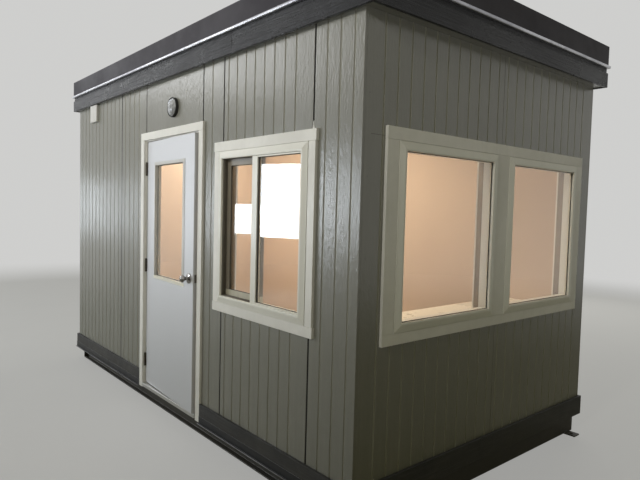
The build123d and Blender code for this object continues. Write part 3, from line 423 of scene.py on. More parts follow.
# How each finish is made from the booth's colours
FINISHES = {
    "siding_paint": lambda colours: paint(
        colours.siding, colours.siding_shade, (0.17, 0.25), grain=0.0009, fineness=0.55, nap=0.0018,
        film_scale=85.0, film_run=0.35, patches=0.45, streaks=0.2, dust=0.1, wear=0.12,
        bare=(0.42, 0.41, 0.38), sheen_level=0.65, fibre_tone=0.08, painted_light_colour=colours.groove_light,
    ),
    "dark_board_paint": lambda colours: paint(
        colours.dark_board, 0.6, (0.32, 0.5), grain=0.0016, fineness=0.8, dust=0.12, wear=0.32,
        bare=(0.2, 0.2, 0.21), scuffs=0.15, sheen_level=0.16, fibre_tone=0.5,
    ),
    "flashing_paint": lambda colours: paint(
        toned(colours.dark_board, 0.8), toned(colours.dark_board, 0.5), (0.28, 0.42), nap=0.0003, wear=0.7,
        bare=(0.26, 0.26, 0.27), scuffs=0.5, scuff_colour=(0.2, 0.2, 0.21), sheen_level=0.3,
    ),
    # Partly wear, partly painted highlight: the pale grey of the flashing's bottom edge, which catches the
    # light
    "hem_wear_and_highlight": lambda colours: paint(
        (0.3, 0.3, 0.32), (0.09, 0.09, 0.095), (0.3, 0.45), nap=0.0003, patches=1.0, wear=0.3,
        bare=(0.45, 0.45, 0.46), scuffs=0.4, scuff_colour=(0.06, 0.06, 0.065),
    ),
    "rough_board_paint": lambda colours: paint(
        toned(colours.dark_board, 0.7), toned(colours.dark_board, 0.5), (0.22, 0.38), grain=0.007,
        fineness=0.5, nap=0.0014, film_scale=110.0, wear=0.4, bare=(0.22, 0.22, 0.24), scuffs=0.1,
        sheen_level=0.16, fibre_tone=0.6,
    ),
    "bead_paint": lambda colours: paint(
        (0.6, 0.6, 0.63), (0.3, 0.3, 0.33), (0.2, 0.4), nap=0.0006, patches=0.8, wear=0.5,
        bare=(0.12, 0.12, 0.14), metallic=0.85,
    ),
    "fascia_paint": lambda colours: paint(
        colours.upper_fascia, 0.8, (0.46, 0.58), grain=0.0005, fineness=0.6, wear=0.1,
        bare=(0.2, 0.19, 0.2), streaks=0.2, sheen_level=0.07,
    ),
    "trim_paint": lambda colours: paint(
        colours.trim, 0.86, (0.38, 0.5), grain=0.0003, fineness=0.7, streaks=0.12, wear=0.08,
        bare=(0.42, 0.38, 0.3), dust=0.08,
    ),
    "door_paint": lambda colours: paint(
        colours.door, 0.92, (0.42, 0.52), nap=0.0003, patches=0.5, streaks=0.06, dust=0.1, wear=0.1,
        bare=(0.3, 0.29, 0.28), scuffs=0.05, scuff_colour=(0.28, 0.28, 0.3), sheen_level=0.35,
    ),
    # Painted highlight: the paler colour lights the bottom rail of the lite trim, as if lit from above.
    "lite_trim": lambda colours: paint(
        colours.lite_trim, 0.92, (0.36, 0.46), patches=0.4, streaks=0.08, wear=0.1,
        bare=(0.4, 0.37, 0.3), painted_light_colour=(0.95, 0.92, 0.8),
    ),
    # Painted shade: the brown-grey liner of the front window's recess
    "window_track_shade": lambda colours: paint(
        colours.track, 0.7, (0.45, 0.6), nap=0.0002, patches=0.8, streaks=0.5, dust=0.1
    ),
    # Painted shade: the inner sash's white vinyl is painted brown-grey for the shade deep in its recess, with
    # painted light on the top of its bottom rail.
    "sash_shade_vinyl": lambda colours: paint(
        toned(colours.track, 1.5), 0.75, (0.35, 0.5), patches=0.8, streaks=0.6, dust=0.2,
        painted_light_colour=(0.62, 0.58, 0.45),
    ),
    # Painted shade: the brown-grey of the window reveals, which lie in shade
    "reveal_shade": lambda colours: paint(
        (0.3, 0.245, 0.185), (0.22, 0.175, 0.13), (0.5, 0.65), grain=0.0005, patches=0.7, streaks=0.3
    ),
    "caulk": lambda colours: paint(colours.caulk, 0.9, (0.35, 0.5), nap=0.0003, patches=0.4),
    "nail_paint": lambda colours: paint(
        toned(colours.siding, 0.72), toned(colours.siding, 0.5), (0.35, 0.5), nap=0.0003, patches=0.9
    ),
    "vinyl_finish": lambda colours: paint(
        colours.vinyl, 0.93, (0.28, 0.36), nap=0.00004, patches=0.4, streaks=0.08, dust=0.06
    ),
    # Its heavy edge wear is partly real wear and partly a painted highlight along the flanges' edges
    "steel_paint": lambda colours: paint(
        colours.steel, (0.018, 0.016, 0.014), (0.4, 0.55), nap=0.0005, dust=0.14, wear=0.6,
        bare=(0.22, 0.21, 0.2), scuffs=0.2, scuff_colour=(0.07, 0.065, 0.055), sheen_level=0.3,
    ),
    "lining_paint": lambda colours: paint(colours.lining, 0.93, (0.5, 0.62), nap=0.0002, patches=0.5),
    "ceiling_paint": lambda colours: paint(colours.ceiling, 0.95, (0.6, 0.7), nap=0.0006, patches=0.4),
    "floor_sheet": lambda colours: paint(
        colours.floor, 0.7, (0.35, 0.55), nap=0.0002, patches=0.9, scuffs=0.3, scuff_colour=(0.32, 0.3, 0.27)
    ),
    "raw_wood": lambda colours: paint(colours.wood, 0.6, (0.6, 0.75), grain=0.001, fineness=0.6, patches=0.9),
    "roof_membrane": lambda colours: paint(
        colours.membrane, 0.75, (0.5, 0.65), nap=0.0008, patches=0.8, scuffs=0.1,
        scuff_colour=(0.25, 0.23, 0.2),
    ),
    "laminate": lambda colours: paint(colours.laminate, 0.95, (0.22, 0.3), nap=0.00003, patches=0.3),
    "cover_plastic": lambda colours: paint(
        colours.box, 0.92, (0.3, 0.38), nap=0.00005, patches=0.4, streaks=0.1
    ),
    "chrome": lambda colours: metal(colours.chrome, (0.12, 0.25)),
    "bronze": lambda colours: metal(colours.bronze, (0.3, 0.45), spots=0.6),
    "sill_metal": lambda colours: metal(colours.sill, (0.35, 0.55), brush=0.0003, spots=0.7),
    "screw_metal": lambda colours: metal((0.35, 0.34, 0.32), (0.3, 0.45)),
    "lamp_black": lambda colours: rubber((0.01, 0.01, 0.011)),
    "gasket": lambda colours: rubber((0.03, 0.025, 0.018)),
    # Painted shade: near-black matte strips that darken the open joints of the siding
    "joint_shade": lambda colours: rubber((0.02, 0.019, 0.017), roughness=0.95, shine=0.04),
    "window_glass": lambda colours: window_glass(),
    "lens_plastic": lambda colours: lens_plastic(),
}


def finish_named(name):
    """Gives a finish, and makes it the first time."""
    if name not in bpy.data.materials:
        FINISHES[name](bpy.context.scene.booth_colours).name = name
    return bpy.data.materials[name]


def islands(shape):
    """Lists the separate bodies of a mesh as lists of vertices."""
    found, seen = [], set()
    for start in shape.verts:
        if start in seen:
            continue
        seen.add(start)
        body = [start]
        # The list grows while it is walked, until the whole body is in it
        for vert in body:
            for edge in vert.link_edges:
                other = edge.other_vert(vert)
                if other not in seen:
                    seen.add(other)
                    body.append(other)
        found.append(body)
    return found


def span(verts):
    """The lowest and highest corners of some vertices."""
    low = Vector(min(vert.co[axis] for vert in verts) for axis in range(3))
    high = Vector(max(vert.co[axis] for vert in verts) for axis in range(3))
    return low, high


def mark_boards(shape, along=None):
    """Stores coordinates that run along each board, each board on its own stretch of the grain."""
    layer = shape.verts.layers.float_vector.new("board")
    draw = random.Random(len(shape.verts))
    for body in islands(shape):
        low, high = span(body)
        size = high - low
        first = along if along is not None else max(range(3), key=lambda axis: size[axis])
        order = [first] + [axis for axis in range(3) if axis != first]
        shift = Vector((draw.uniform(0, 20), draw.uniform(0, 20), draw.uniform(0, 20)))
        for vert in body:
            vert[layer] = Vector(vert.co[axis] for axis in order) + shift


def round_edges(shape, rounding, segments):
    """Rounds the sharp edges of each body, and marks the faces of the rounding."""
    mark = shape.faces.layers.float.new("edge")
    bodies = [
        [
            edge
            for edge in {edge for vert in body for edge in vert.link_edges}
            if len(edge.link_faces) == 2 and edge.calc_face_angle(0) > SHARP_ANGLE
        ]
        for body in islands(shape)
    ]
    for edges in bodies:
        edges.sort(key=lambda edge: tuple(round(value, 6) for value in edge.verts[0].co + edge.verts[1].co))
        made = bmesh.ops.bevel(
            shape, geom=edges, offset=rounding, offset_type="OFFSET", affect="EDGES", segments=segments,
            profile=0.5, material=-1, clamp_overlap=True,
        )
        for face in made["faces"]:
            face[mark] = 1.0


def mesh_from(name, shape):
    """Makes a mesh from a shape, which is used up."""
    mesh = bpy.data.meshes.new(name)
    shape.to_mesh(mesh)
    shape.free()
    return mesh


def scene_object(name, data):
    """Makes an object and puts it in the scene."""
    made = bpy.data.objects.new(name, data)
    bpy.context.scene.collection.objects.link(made)
    return made


def add_piece(name, shape, finish, like):
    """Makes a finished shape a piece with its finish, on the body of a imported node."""
    mesh = mesh_from(name, shape)
    mesh.shade_smooth()
    mesh.set_sharp_from_angle(angle=SMOOTH_ANGLE)
    piece = scene_object(name, mesh)
    mesh.materials.append(finish_named(finish))
    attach(piece, frame["nodes"][like]["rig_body"])
    return piece


def merged_copy(node_name):
    """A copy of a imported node's mesh with its loose triangles joined into whole faces."""
    shape = bmesh.new()
    shape.from_mesh(frame["nodes"][node_name].data)
    bmesh.ops.remove_doubles(shape, verts=shape.verts, dist=MERGE_DISTANCE)
    bmesh.ops.dissolve_limit(shape, angle_limit=FLAT_ANGLE, verts=shape.verts, edges=shape.edges)
    return shape


def body_boxes(node_name):
    """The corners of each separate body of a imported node, in order along X, Y and Z."""
    shape = merged_copy(node_name)
    boxes = [span(body) for body in islands(shape)]
    shape.free()
    return sorted(boxes, key=lambda box: tuple(round(value, 4) for value in (*box[0], *box[1])))


def joined(shapes):
    """One mesh from several, each of which is used up."""
    whole = bmesh.new()
    for shape in shapes:
        mesh = mesh_from("member", shape)
        whole.from_mesh(mesh)
        bpy.data.meshes.remove(mesh)
    return whole


def cut(shape, place, normal, clear=False):
    """Cuts a mesh along a plane, and clears the side that the normal points to if asked."""
    parts = shape.verts[:] + shape.edges[:] + shape.faces[:]
    bmesh.ops.bisect_plane(
        shape, geom=parts, dist=TINY, plane_co=place, plane_no=normal, clear_outer=clear
    )


def mitred(shape, normal):
    """Cuts a rectangular frame into four members that meet in mitres at its corners."""
    low, high = span(shape.verts)
    side, upwards = Vector((0, 0, 0)), Vector((0, 0, 1))
    side[1 - normal] = 1.0
    members = []
    for along, across, ways, ends in ((side, upwards, (1, -1), (-1, 1)), (upwards, side, (-1, 1), (1, -1))):
        for way in ways:
            member = shape.copy()
            for end in ends:
                towards = end * along + way * across
                outwards = end * along - way * across
                corner = Vector((high if towards[axis] > 0 else low)[axis] for axis in range(3))
                cut(member, corner - outwards.normalized() * MITRE_GAP, outwards, clear=True)
                rims = [edge for edge in member.edges if edge.is_boundary]
                bmesh.ops.holes_fill(member, edges=rims, sides=0)
            bmesh.ops.recalc_face_normals(member, faces=member.faces)
            members.append(member)
    shape.free()
    return joined(members)


def finished_copy(node_name, shape, finish, rounding, segments=2, along=None, name=None):
    """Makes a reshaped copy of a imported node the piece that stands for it."""
    round_edges(shape, rounding, segments)
    mark_boards(shape, along)
    piece = add_piece(name or f"dressed_{node_name}", shape, finish, node_name)
    piece.modifiers.new("Flat faces", "WEIGHTED_NORMAL").keep_sharp = True
    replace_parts(piece, node_name)


def dress(node_name, finish, rounding, segments=2):
    """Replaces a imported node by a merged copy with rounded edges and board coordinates."""
    finished_copy(node_name, merged_copy(node_name), finish, rounding, segments)


def only_bodies(node_name, wanted):
    """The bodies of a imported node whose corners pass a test."""
    shape = merged_copy(node_name)
    for body in islands(shape):
        if not wanted(*span(body)):
            bmesh.ops.delete(shape, geom=body, context="VERTS")
    return shape


def paint_low_rail_light(shape, height, painted_light_share):
    """Stores painted light on the lowest member of a frame, as on a top that catches the light."""
    foot = span(shape.verts)[0]
    cut(shape, foot + Vector((0, 0, height)), (0, 0, 1))
    mark = shape.faces.layers.float.new("painted_light")
    for face in shape.faces:
        if face.calc_center_median().z < foot.z + height:
            face[mark] = painted_light_share


def add_box(shape, low, high, matrix=None):
    """Adds a box between two corners to a mesh."""
    low, high = Vector(low), Vector(high)
    place = Matrix.Translation((low + high) / 2) @ Matrix.Diagonal((*(high - low), 1.0))
    bmesh.ops.create_cube(shape, size=1.0, matrix=(matrix or Matrix()) @ place)


def strips(name, boxes, finish, like, rounding=0.0004, matrix=None):
    """Narrow strips, each between two corners, as one mesh."""
    shape = bmesh.new()
    for low, high in boxes:
        add_box(shape, low, high, matrix)
    round_edges(shape, rounding, 1)
    mark_boards(shape)
    add_piece(name, shape, finish, like)


def ring_boxes(low, high, normal, width):
    """The four strips of a rectangular ring whose outside runs between two corners."""
    side, rise = (axis for axis in range(3) if axis != normal)
    boxes = []
    for low_side, high_side, low_rise, high_rise in (
        (low[side], high[side], low[rise], low[rise] + width),
        (low[side], high[side], high[rise] - width, high[rise]),
        (low[side], low[side] + width, low[rise] + width, high[rise] - width),
        (high[side] - width, high[side], low[rise] + width, high[rise] - width),
    ):
        first, second = Vector(low), Vector(high)
        first[side], second[side] = low_side, high_side
        first[rise], second[rise] = low_rise, high_rise
        boxes.append((first, second))
    return boxes


def pane_rings(low, high, normal, width):
    """The strips of rubber round a pane, on both of its faces."""
    thickness = 0.002
    boxes = []
    for face, step in ((low[normal], -thickness), (high[normal], thickness)):
        first, second = low.copy(), high.copy()
        first[normal], second[normal] = sorted((face, face + step))
        boxes += ring_boxes(first, second, normal, width)
    return boxes


def add_ball(shape, place, half_sizes, subdivisions):
    """Adds a round lump with its own half size along each axis."""
    matrix = Matrix.Translation(place) @ Matrix.Diagonal((*half_sizes, 1.0))
    bmesh.ops.create_icosphere(shape, subdivisions=subdivisions, radius=1.0, matrix=matrix)


def closed_box(node_name):
    """The corners of a node of the door when the door is shut."""
    shape = merged_copy(node_name)
    bmesh.ops.transform(shape, matrix=AJAR.inverted(), verts=shape.verts)
    corners = span(shape.verts)
    shape.free()
    return corners


def placed(origin, outwards):
    """The matrix that puts a part made along +Z at a point, facing outwards."""
    z_axis = Vector(outwards).normalized()
    up = Vector((0, 0, 1)) if abs(z_axis.z) < 0.9 else Vector((0, 1, 0))
    x_axis = up.cross(z_axis).normalized()
    turn = Matrix((x_axis, z_axis.cross(x_axis), z_axis)).transposed().to_4x4()
    return Matrix.Translation(origin) @ turn


def arc(center, radius, start, stop, count):
    """Points of an arc in a turned part's profile, in degrees."""
    angles = [math.radians(start + (stop - start) * step / count) for step in range(count + 1)]
    return [(center[0] + radius * math.cos(a), center[1] + radius * math.sin(a)) for a in angles]


def turned(name, profile, matrix, finish, node_name):
    """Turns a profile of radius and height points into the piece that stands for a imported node."""
    shape = bmesh.new()
    verts = [shape.verts.new((radius, 0.0, height)) for radius, height in profile]
    edges = [shape.edges.new(pair) for pair in zip(verts, verts[1:])]
    bmesh.ops.spin(
        shape, geom=verts + edges, cent=(0, 0, 0), axis=(0, 0, 1), angle=FULL_TURN,
        steps=bpy.context.scene.booth_sizes.turned_steps, use_merge=True,
    )
    bmesh.ops.remove_doubles(shape, verts=shape.verts, dist=MERGE_DISTANCE)
    bmesh.ops.recalc_face_normals(shape, faces=shape.faces)
    bmesh.ops.transform(shape, matrix=matrix, verts=shape.verts)
    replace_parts(add_piece(name, shape, finish, node_name), node_name)


def heads(name, places, radius, height, finish, like, sides=12):
    """Many like nail or screw heads as one mesh: a place is a point and the way it faces."""
    top_share = 0.72
    shape = bmesh.new()
    for point, outwards in places:
        matrix = placed(Vector(point) + Vector(outwards) * height / 2, outwards)
        bmesh.ops.create_cone(
            shape, cap_ends=True, segments=sides, radius1=radius, radius2=radius * top_share,
            depth=height, matrix=matrix,
        )
    add_piece(name, shape, finish, like)


def board_nails(name, node_name, sizes):
    """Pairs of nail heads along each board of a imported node, on its outer face."""
    from_edge, from_end, pitch, height = 0.022, 0.035, 0.61, 0.0007
    places = []
    for low, high in body_boxes(node_name):
        size = high - low
        normal = 0 if size.x < size.y else 1
        along = 1 - normal
        outwards = Vector((0, 0, 0))
        outwards[normal] = math.copysign(1.0, low[normal] + high[normal])
        count = max(1, round((size[along] - 2 * from_end) / pitch))
        for step in range(count + 1):
            for level in (low.z + from_edge, high.z - from_edge):
                point = Vector((0, 0, level))
                point[normal] = (high if outwards[normal] > 0 else low)[normal]
                point[along] = low[along] + from_end + (size[along] - 2 * from_end) * step / count
                places.append((point, outwards))
    heads(name, places, sizes.nail_radius * SMALL_HEAD, height, "dark_board_paint", node_name)


class PieceOperator:
    """What the booth's operators share."""

    bl_options = {"REGISTER", "UNDO"}

    def execute(self, context):
        self.build(context.scene.booth_sizes)
        return {"FINISHED"}


class BOOTH_OT_siding(PieceOperator, bpy.types.Operator):
    """Grooved siding of the four walls, with its nails"""

    bl_idname = "booth.siding"
    bl_label = "Siding"

    def build(self, sizes):
        # The last number is the share of painted light in the wall's grooves.
        for node_name, normal, outwards, painted_light_share in (
            ("front_siding", 1, -1, 0.3),
            ("right_end_siding", 0, 1, 0.62),
            ("left_end_siding", 0, -1, 0.3),
            ("back_siding", 1, 1, 0.3),
        ):
            shape = merged_copy(node_name)
            if node_name == "front_siding":
                self.ease_joints(shape)
            self.mark_groove_light(shape, normal, outwards, painted_light_share)
            finished_copy(node_name, shape, "siding_paint", sizes.siding_edge, along=2)
        self.lap_shade()
        self.cracks()
        self.nails(sizes)
        self.caulk()

    def ease_joints(self, shape):
        """Opens the joints of the front sheets, and fills the shallow lines over the door with paint."""
        shallow, nearly_flat, near = 0.0015, 0.0004, 0.0002
        sheets = body_boxes("front_siding")
        moves = [(high.x, -JOINT_EASE) for low, high in sheets[:-1]]
        moves += [(low.x, JOINT_EASE) for low, high in sheets[1:]]
        for vert in shape.verts:
            if 0.0 < vert.co.y - WALL_FRONT < shallow:
                vert.co.y = WALL_FRONT + nearly_flat
            vert.co.x += next((move for line, move in moves if abs(vert.co.x - line) < near), 0.0)

    def mark_groove_light(self, shape, normal, outwards, painted_light_share):
        """Stores the share of painted light on the faces that lie in the grooves: on the end wall it paints
        the light on their sides, elsewhere it lifts their shade.
        """
        shallowest, deepest, full_depth, steepest, left_painted_light = 0.0004, 0.0056, 0.003, 0.5, 0.45
        casing_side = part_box("door_casing")[0].x
        mark = shape.faces.layers.float.new("painted_light")
        low, high = span(shape.verts)
        level = high[normal] if outwards > 0 else low[normal]
        for face in shape.faces:
            center = face.calc_center_median()
            depth = (level - center[normal]) * outwards
            if shallowest < depth < deepest and abs(face.normal.z) < steepest:
                # Grooves left of the door get a larger share of painted light, which lifts their shade
                # further.
                left_of_door = normal == 1 and outwards < 0 and center.x < casing_side
                face[mark] = left_painted_light if left_of_door else painted_light_share * min(1.0, depth / full_depth)

    def lap_shade(self):
        """The overlap behind each joint of the front sheets, near black as painted shade in the open joint.
        """
        setback, thickness = 0.0008, 0.008
        sheets = body_boxes("front_siding")
        boxes = []
        for (low, high), (next_low, _) in zip(sheets, sheets[1:]):
            first = (high.x - JOINT_EASE, low.y + setback, max(low.z, next_low.z))
            boxes.append((first, (next_low.x + JOINT_EASE, low.y + setback + thickness, high.z)))
        strips("siding_lap_shade", boxes, "joint_shade", "front_siding", rounding=0.0001)

    def cracks(self):
        """The fine crack in the end wall, from its corners to the heads of the windows."""
        over_window, from_corner, sunk, proud = 0.015, 0.06, 0.0002, 0.0003
        front_width, back_width = 0.0018, 0.0012
        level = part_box("end_window_frame_front")[1].z + over_window
        low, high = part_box("end_window_casing")
        corner = WALL_FRONT + from_corner
        inside, outside = WALL_RIGHT - sunk, WALL_RIGHT + proud
        boxes = [
            ((inside, corner, level), (outside, low.y, level + front_width)),
            ((inside, high.y, level), (outside, -corner, level + back_width)),
        ]
        strips("siding_cracks", boxes, "gasket", "right_end_siding", rounding=0.0001)

    def nails(self, sizes):
        """Painted nail heads up the sheets, a little in from the corners and beside the joints."""
        first, rows, beside_joint, height = 0.62, 5, 0.014, 0.0006
        right_of_door, before_corner, back_lines = 0.7, 0.1, (-0.7, 0.5)
        levels = [first + row * sizes.nail_pitch for row in range(rows)]
        joints = [high.x for low, high in body_boxes("front_siding")]
        edge = WALL_RIGHT - sizes.nail_inset
        lines = [edge, -edge]
        lines += [line - beside_joint for line in joints if right_of_door < line < WALL_RIGHT - before_corner]
        low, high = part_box("front_window_casing")
        places = [
            ((line, WALL_FRONT, level), (0, -1, 0))
            for line in lines
            for level in levels
            if not (low.x < line < high.x and low.z < level < high.z)
        ]
        end_edge = -WALL_FRONT - sizes.nail_inset
        for level in levels:
            for along in (-end_edge, end_edge):
                places.append(((WALL_RIGHT, along, level), (1, 0, 0)))
                places.append(((-WALL_RIGHT, along, level), (-1, 0, 0)))
            for along in (-edge, *back_lines, edge):
                places.append(((along, -WALL_FRONT, level), (0, 1, 0)))
        heads("siding_nails", places, sizes.nail_radius, height, "nail_paint", "front_siding")

    def caulk(self):
        """Caulk along the heads of the casings, with the drip that ran up the joint by the window."""
        bead, setback, from_side = 0.0028, 0.012, 0.046
        drip_depth, lumps = 0.0022, ((0.012, 0.0055, 0.014), (0.03, 0.0035, 0.016), (0.006, 0.009, 0.006))
        shape = bmesh.new()
        for node_name in ("front_window_casing", "door_casing"):
            low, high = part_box(node_name)
            first = (low.x + setback, WALL_FRONT - bead, high.z)
            add_box(shape, first, (high.x - setback, WALL_FRONT, high.z + bead))
        round_edges(shape, bead * 0.6, 3)
        joint = body_boxes("front_window_casing")[0][1].x - from_side
        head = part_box("front_window_casing")[1].z
        for rise, half_width, half_height in lumps:
            add_ball(shape, (joint, WALL_FRONT, head + rise), (half_width, drip_depth, half_height), 3)
        mark_boards(shape)
        add_piece("caulk_beads", shape, "caulk", "front_window_casing")


class BOOTH_OT_base(PieceOperator, bpy.types.Operator):
    """Steel skid base with its anchor tabs"""

    bl_idname = "booth.base"
    bl_label = "Skid base"

    def build(self, sizes):
        for part in ("skid_front", "skid_back", "base_end_channels", "base_cross_members", "anchor_tabs"):
            dress(part, "steel_paint", sizes.steel_edge)
        self.welds()

    def welds(self):
        """Weld beads where the end channels close the skids, and along the anchor tabs."""
        ripple, radius, corner_foot, corner_reach = 0.0055, 0.0042, 0.012, 0.1
        tab_inset, tab_reach = 0.07, 0.064
        skid_low, skid_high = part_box("skid_front")
        end_side, tab_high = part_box("base_end_channels")[1].x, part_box("anchor_tabs")[1]
        shape = bmesh.new()
        for x_sign in (-1, 1):
            for y_sign in (-1, 1):
                corner = Vector((x_sign * skid_high.x, -y_sign * skid_low.y, corner_foot))
                tab = Vector((x_sign * end_side, y_sign * (tab_high.y - tab_inset), tab_high.z))
                for start, towards, reach in (
                    (corner, Vector((0, 0, 1)), corner_reach), (tab, Vector((0, y_sign, 0)), tab_reach),
                ):
                    for step in range(int(reach / ripple)):
                        add_ball(shape, start + towards * step * ripple, (radius, radius, radius), 2)
        mark_boards(shape)
        add_piece("weld_beads", shape, "steel_paint", "skid_front")


class BOOTH_OT_skirt(PieceOperator, bpy.types.Operator):
    """Skirt boards and their drip flashing"""

    bl_idname = "booth.skirt"
    bl_label = "Skirt"

    def build(self, sizes):
        hem, proud = 0.006, 0.0012
        dress("skirt_boards", "dark_board_paint", sizes.board_edge)
        dress("skirt_flashing", "flashing_paint", 0.0005)
        # The pale hem strips are worn metal and also a painted highlight along the flashing's lower edge
        hems = [
            ((low.x, low.y - proud, low.z), (high.x, low.y, low.z + hem))
            for low, high in body_boxes("skirt_flashing")
        ]
        strips("flashing_hems", hems, "hem_wear_and_highlight", "skirt_flashing")
        board_nails("skirt_nails", "skirt_boards", sizes)


class BOOTH_OT_roof(PieceOperator, bpy.types.Operator):
    """Roof with its fascia boards, bead and membrane"""

    bl_idname = "booth.roof"
    bl_label = "Roof"

    def build(self, sizes):
        seam_lines, lap, edge, seam_rise, rim_rise = (-0.42, 0.42), 0.05, 0.03, 0.0012, 0.0015
        dress("lower_fascia_boards", "rough_board_paint", sizes.board_edge)
        dress("fascia_bead", "bead_paint", 0.0006)
        for place in ("lower", "upper"):
            board_nails(f"{place}_fascia_nails", f"{place}_fascia_boards", sizes)
        low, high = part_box("roof_membrane")
        seams = [
            ((low.x + edge, line - lap, high.z), (high.x - edge, line + lap, high.z + seam_rise))
            for line in seam_lines
        ]
        seams += ring_boxes((low.x, low.y, high.z), (high.x, high.y, high.z + rim_rise), 2, edge)
        strips("roof_seams", seams, "roof_membrane", "roof_membrane", rounding=0.0005)
        dress("upper_fascia_boards", "fascia_paint", sizes.board_edge)
        dress("soffit", "siding_paint", sizes.board_edge)
        dress("roof_membrane", "roof_membrane", 0.001)
        dress("roof_deck", "raw_wood", 0.001)
        dress("roof_joists", "raw_wood", 0.002)


class BOOTH_OT_inside(PieceOperator, bpy.types.Operator):
    """Lined walls, ceiling, floor and window trim inside"""

    bl_idname = "booth.inside"
    bl_label = "Inside"

    def build(self, sizes):
        for wall in (
            "front_wall_left", "front_wall_over_door", "front_wall_right", "back_wall", "left_end_wall",
            "right_end_wall",
        ):
            dress(wall, "lining_paint", 0.0006)
        dress("ceiling", "ceiling_paint", 0.001)
        dress("floor_deck", "floor_sheet", 0.001)
        dress("inside_window_trim", "trim_paint", sizes.board_edge)


class BOOTH_OT_door_frame(PieceOperator, bpy.types.Operator):
    """Door jambs, head, stops, sill, casing and strike"""

    bl_idname = "booth.door_frame"
    bl_label = "Door frame"

    def build(self, sizes):
        from_middle, rise = 0.024, 0.0006
        for node_name in ("door_jambs", "door_head", "door_stops", "door_casing"):
            dress(node_name, "trim_paint", sizes.board_edge)
        dress("door_threshold", "sill_metal", 0.002)
        dress("strike_plate", "chrome", 0.0005)
        low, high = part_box("strike_plate")
        line, level = (low.y + high.y) / 2, (low.z + high.z) / 2
        places = [((low.x, line, level + shift), (-1, 0, 0)) for shift in (-from_middle, from_middle)]
        radius = sizes.screw_radius * SMALL_HEAD
        heads("strike_screws", places, radius, rise, "screw_metal", "strike_plate")
        self.seals()

    def seals(self):
        """Black weatherstrip on the stops, on the side that the leaf closes against."""
        thickness, inset = 0.0042, 0.003
        boxes = []
        for low, high in body_boxes("door_stops"):
            first, second = low.copy(), high.copy()
            second.y, first.y = low.y, low.y - thickness
            if high.x - low.x > high.z - low.z:
                first.x, second.x = low.x + inset, high.x - inset
            else:
                second.z = high.z - inset
            boxes.append((first, second))
        strips("door_weatherstrip", boxes, "gasket", "door_stops", rounding=0.001)


class BOOTH_OT_door(PieceOperator, bpy.types.Operator):
    """Door leaf and its glazed light"""

    bl_idname = "booth.door"
    bl_label = "Door"

    def build(self, sizes):
        rail_height = 0.026
        sweep_inset, sweep_drop, sweep_thickness, sweep_height = 0.016, 0.003, 0.0042, 0.034
        dress("door_leaf", "door_paint", 0.0015)
        shape = merged_copy("door_lite_frame")
        # Painted highlight on the lite trim's bottom rail
        paint_low_rail_light(shape, rail_height, 1.0)
        finished_copy("door_lite_frame", shape, "lite_trim", 0.001)
        dress("door_lite_glass", "window_glass", 0.0005)
        low, high = closed_box("door_leaf")
        first = (low.x + sweep_inset, high.y, low.z - sweep_drop)
        sweep = [(first, (high.x - sweep_inset, high.y + sweep_thickness, low.z + sweep_height))]
        strips("door_sweep", sweep, "gasket", "door_leaf", rounding=0.001, matrix=AJAR)
        rings = pane_rings(*closed_box("door_lite_glass"), 1, sizes.gasket_width)
        strips("door_lite_gasket", rings, "gasket", "door_lite_frame", matrix=AJAR)


class BOOTH_OT_lockset(PieceOperator, bpy.types.Operator):
    """Turned knobs and roses of the lockset"""

    bl_idname = "booth.lockset"
    bl_label = "Lockset"

    def build(self, sizes):
        backset, crown, plate_limit = 0.068, 0.0694, 0.01
        faceplate = only_bodies("door_lockset", lambda low, high: high.x - low.x < plate_limit)
        finished_copy("door_lockset", faceplate, "chrome", 0.0005, name="lock_faceplate")
        leaf_low, leaf_high = closed_box("door_leaf")
        knob_low, knob_high = closed_box("door_lockset")
        line, level = leaf_high.x - backset, (knob_low.z + knob_high.z) / 2
        profile = self.profile((knob_high.z - knob_low.z) / 2, crown)
        for name, face, way in (("outer_knob", leaf_low.y, -1), ("inner_knob", leaf_high.y, 1)):
            matrix = AJAR @ placed((line, face, level), (0, way, 0))
            turned(name, profile, matrix, "chrome", "door_lockset")
        self.keyway(AJAR @ placed((line, leaf_low.y, level), (0, -1, 0)), crown)

    def profile(self, rose, crown):
        """Half outline of a rose, neck and knob, from the leaf outwards."""
        neck, waist, widest, half_height, middle = 0.0138, 0.0125, 0.0273, 0.0188, 0.0508
        outline = [(0.0, 0.0), (rose, 0.0), (rose, 0.0028)]
        outline += arc((rose - 0.004, 0.0035), 0.004, 0, 80, 6)
        outline += [(rose * 0.62, 0.0102), (neck + 0.003, 0.0118)]
        outline += [(neck, 0.0135), (waist, 0.024), (neck, 0.0335)]
        outline += [
            (widest * across, middle + half_height * rise) for across, rise in arc((0, 0), 1.0, -56, 62, 16)
        ]
        return outline + [(0.0105, crown - 0.0009), (0.0085, crown - 0.0012), (0.008, crown), (0.0, crown)]

    def keyway(self, matrix, crown):
        """The dark key slot in the middle of the outer knob."""
        half_width, half_length, sunk, proud = 0.0008, 0.0042, 0.002, 0.00025
        shape = bmesh.new()
        first = (-half_width, -half_length, crown - sunk)
        add_box(shape, first, (half_width, half_length, crown + proud), matrix)
        add_piece("keyway", shape, "lamp_black", "door_lockset")


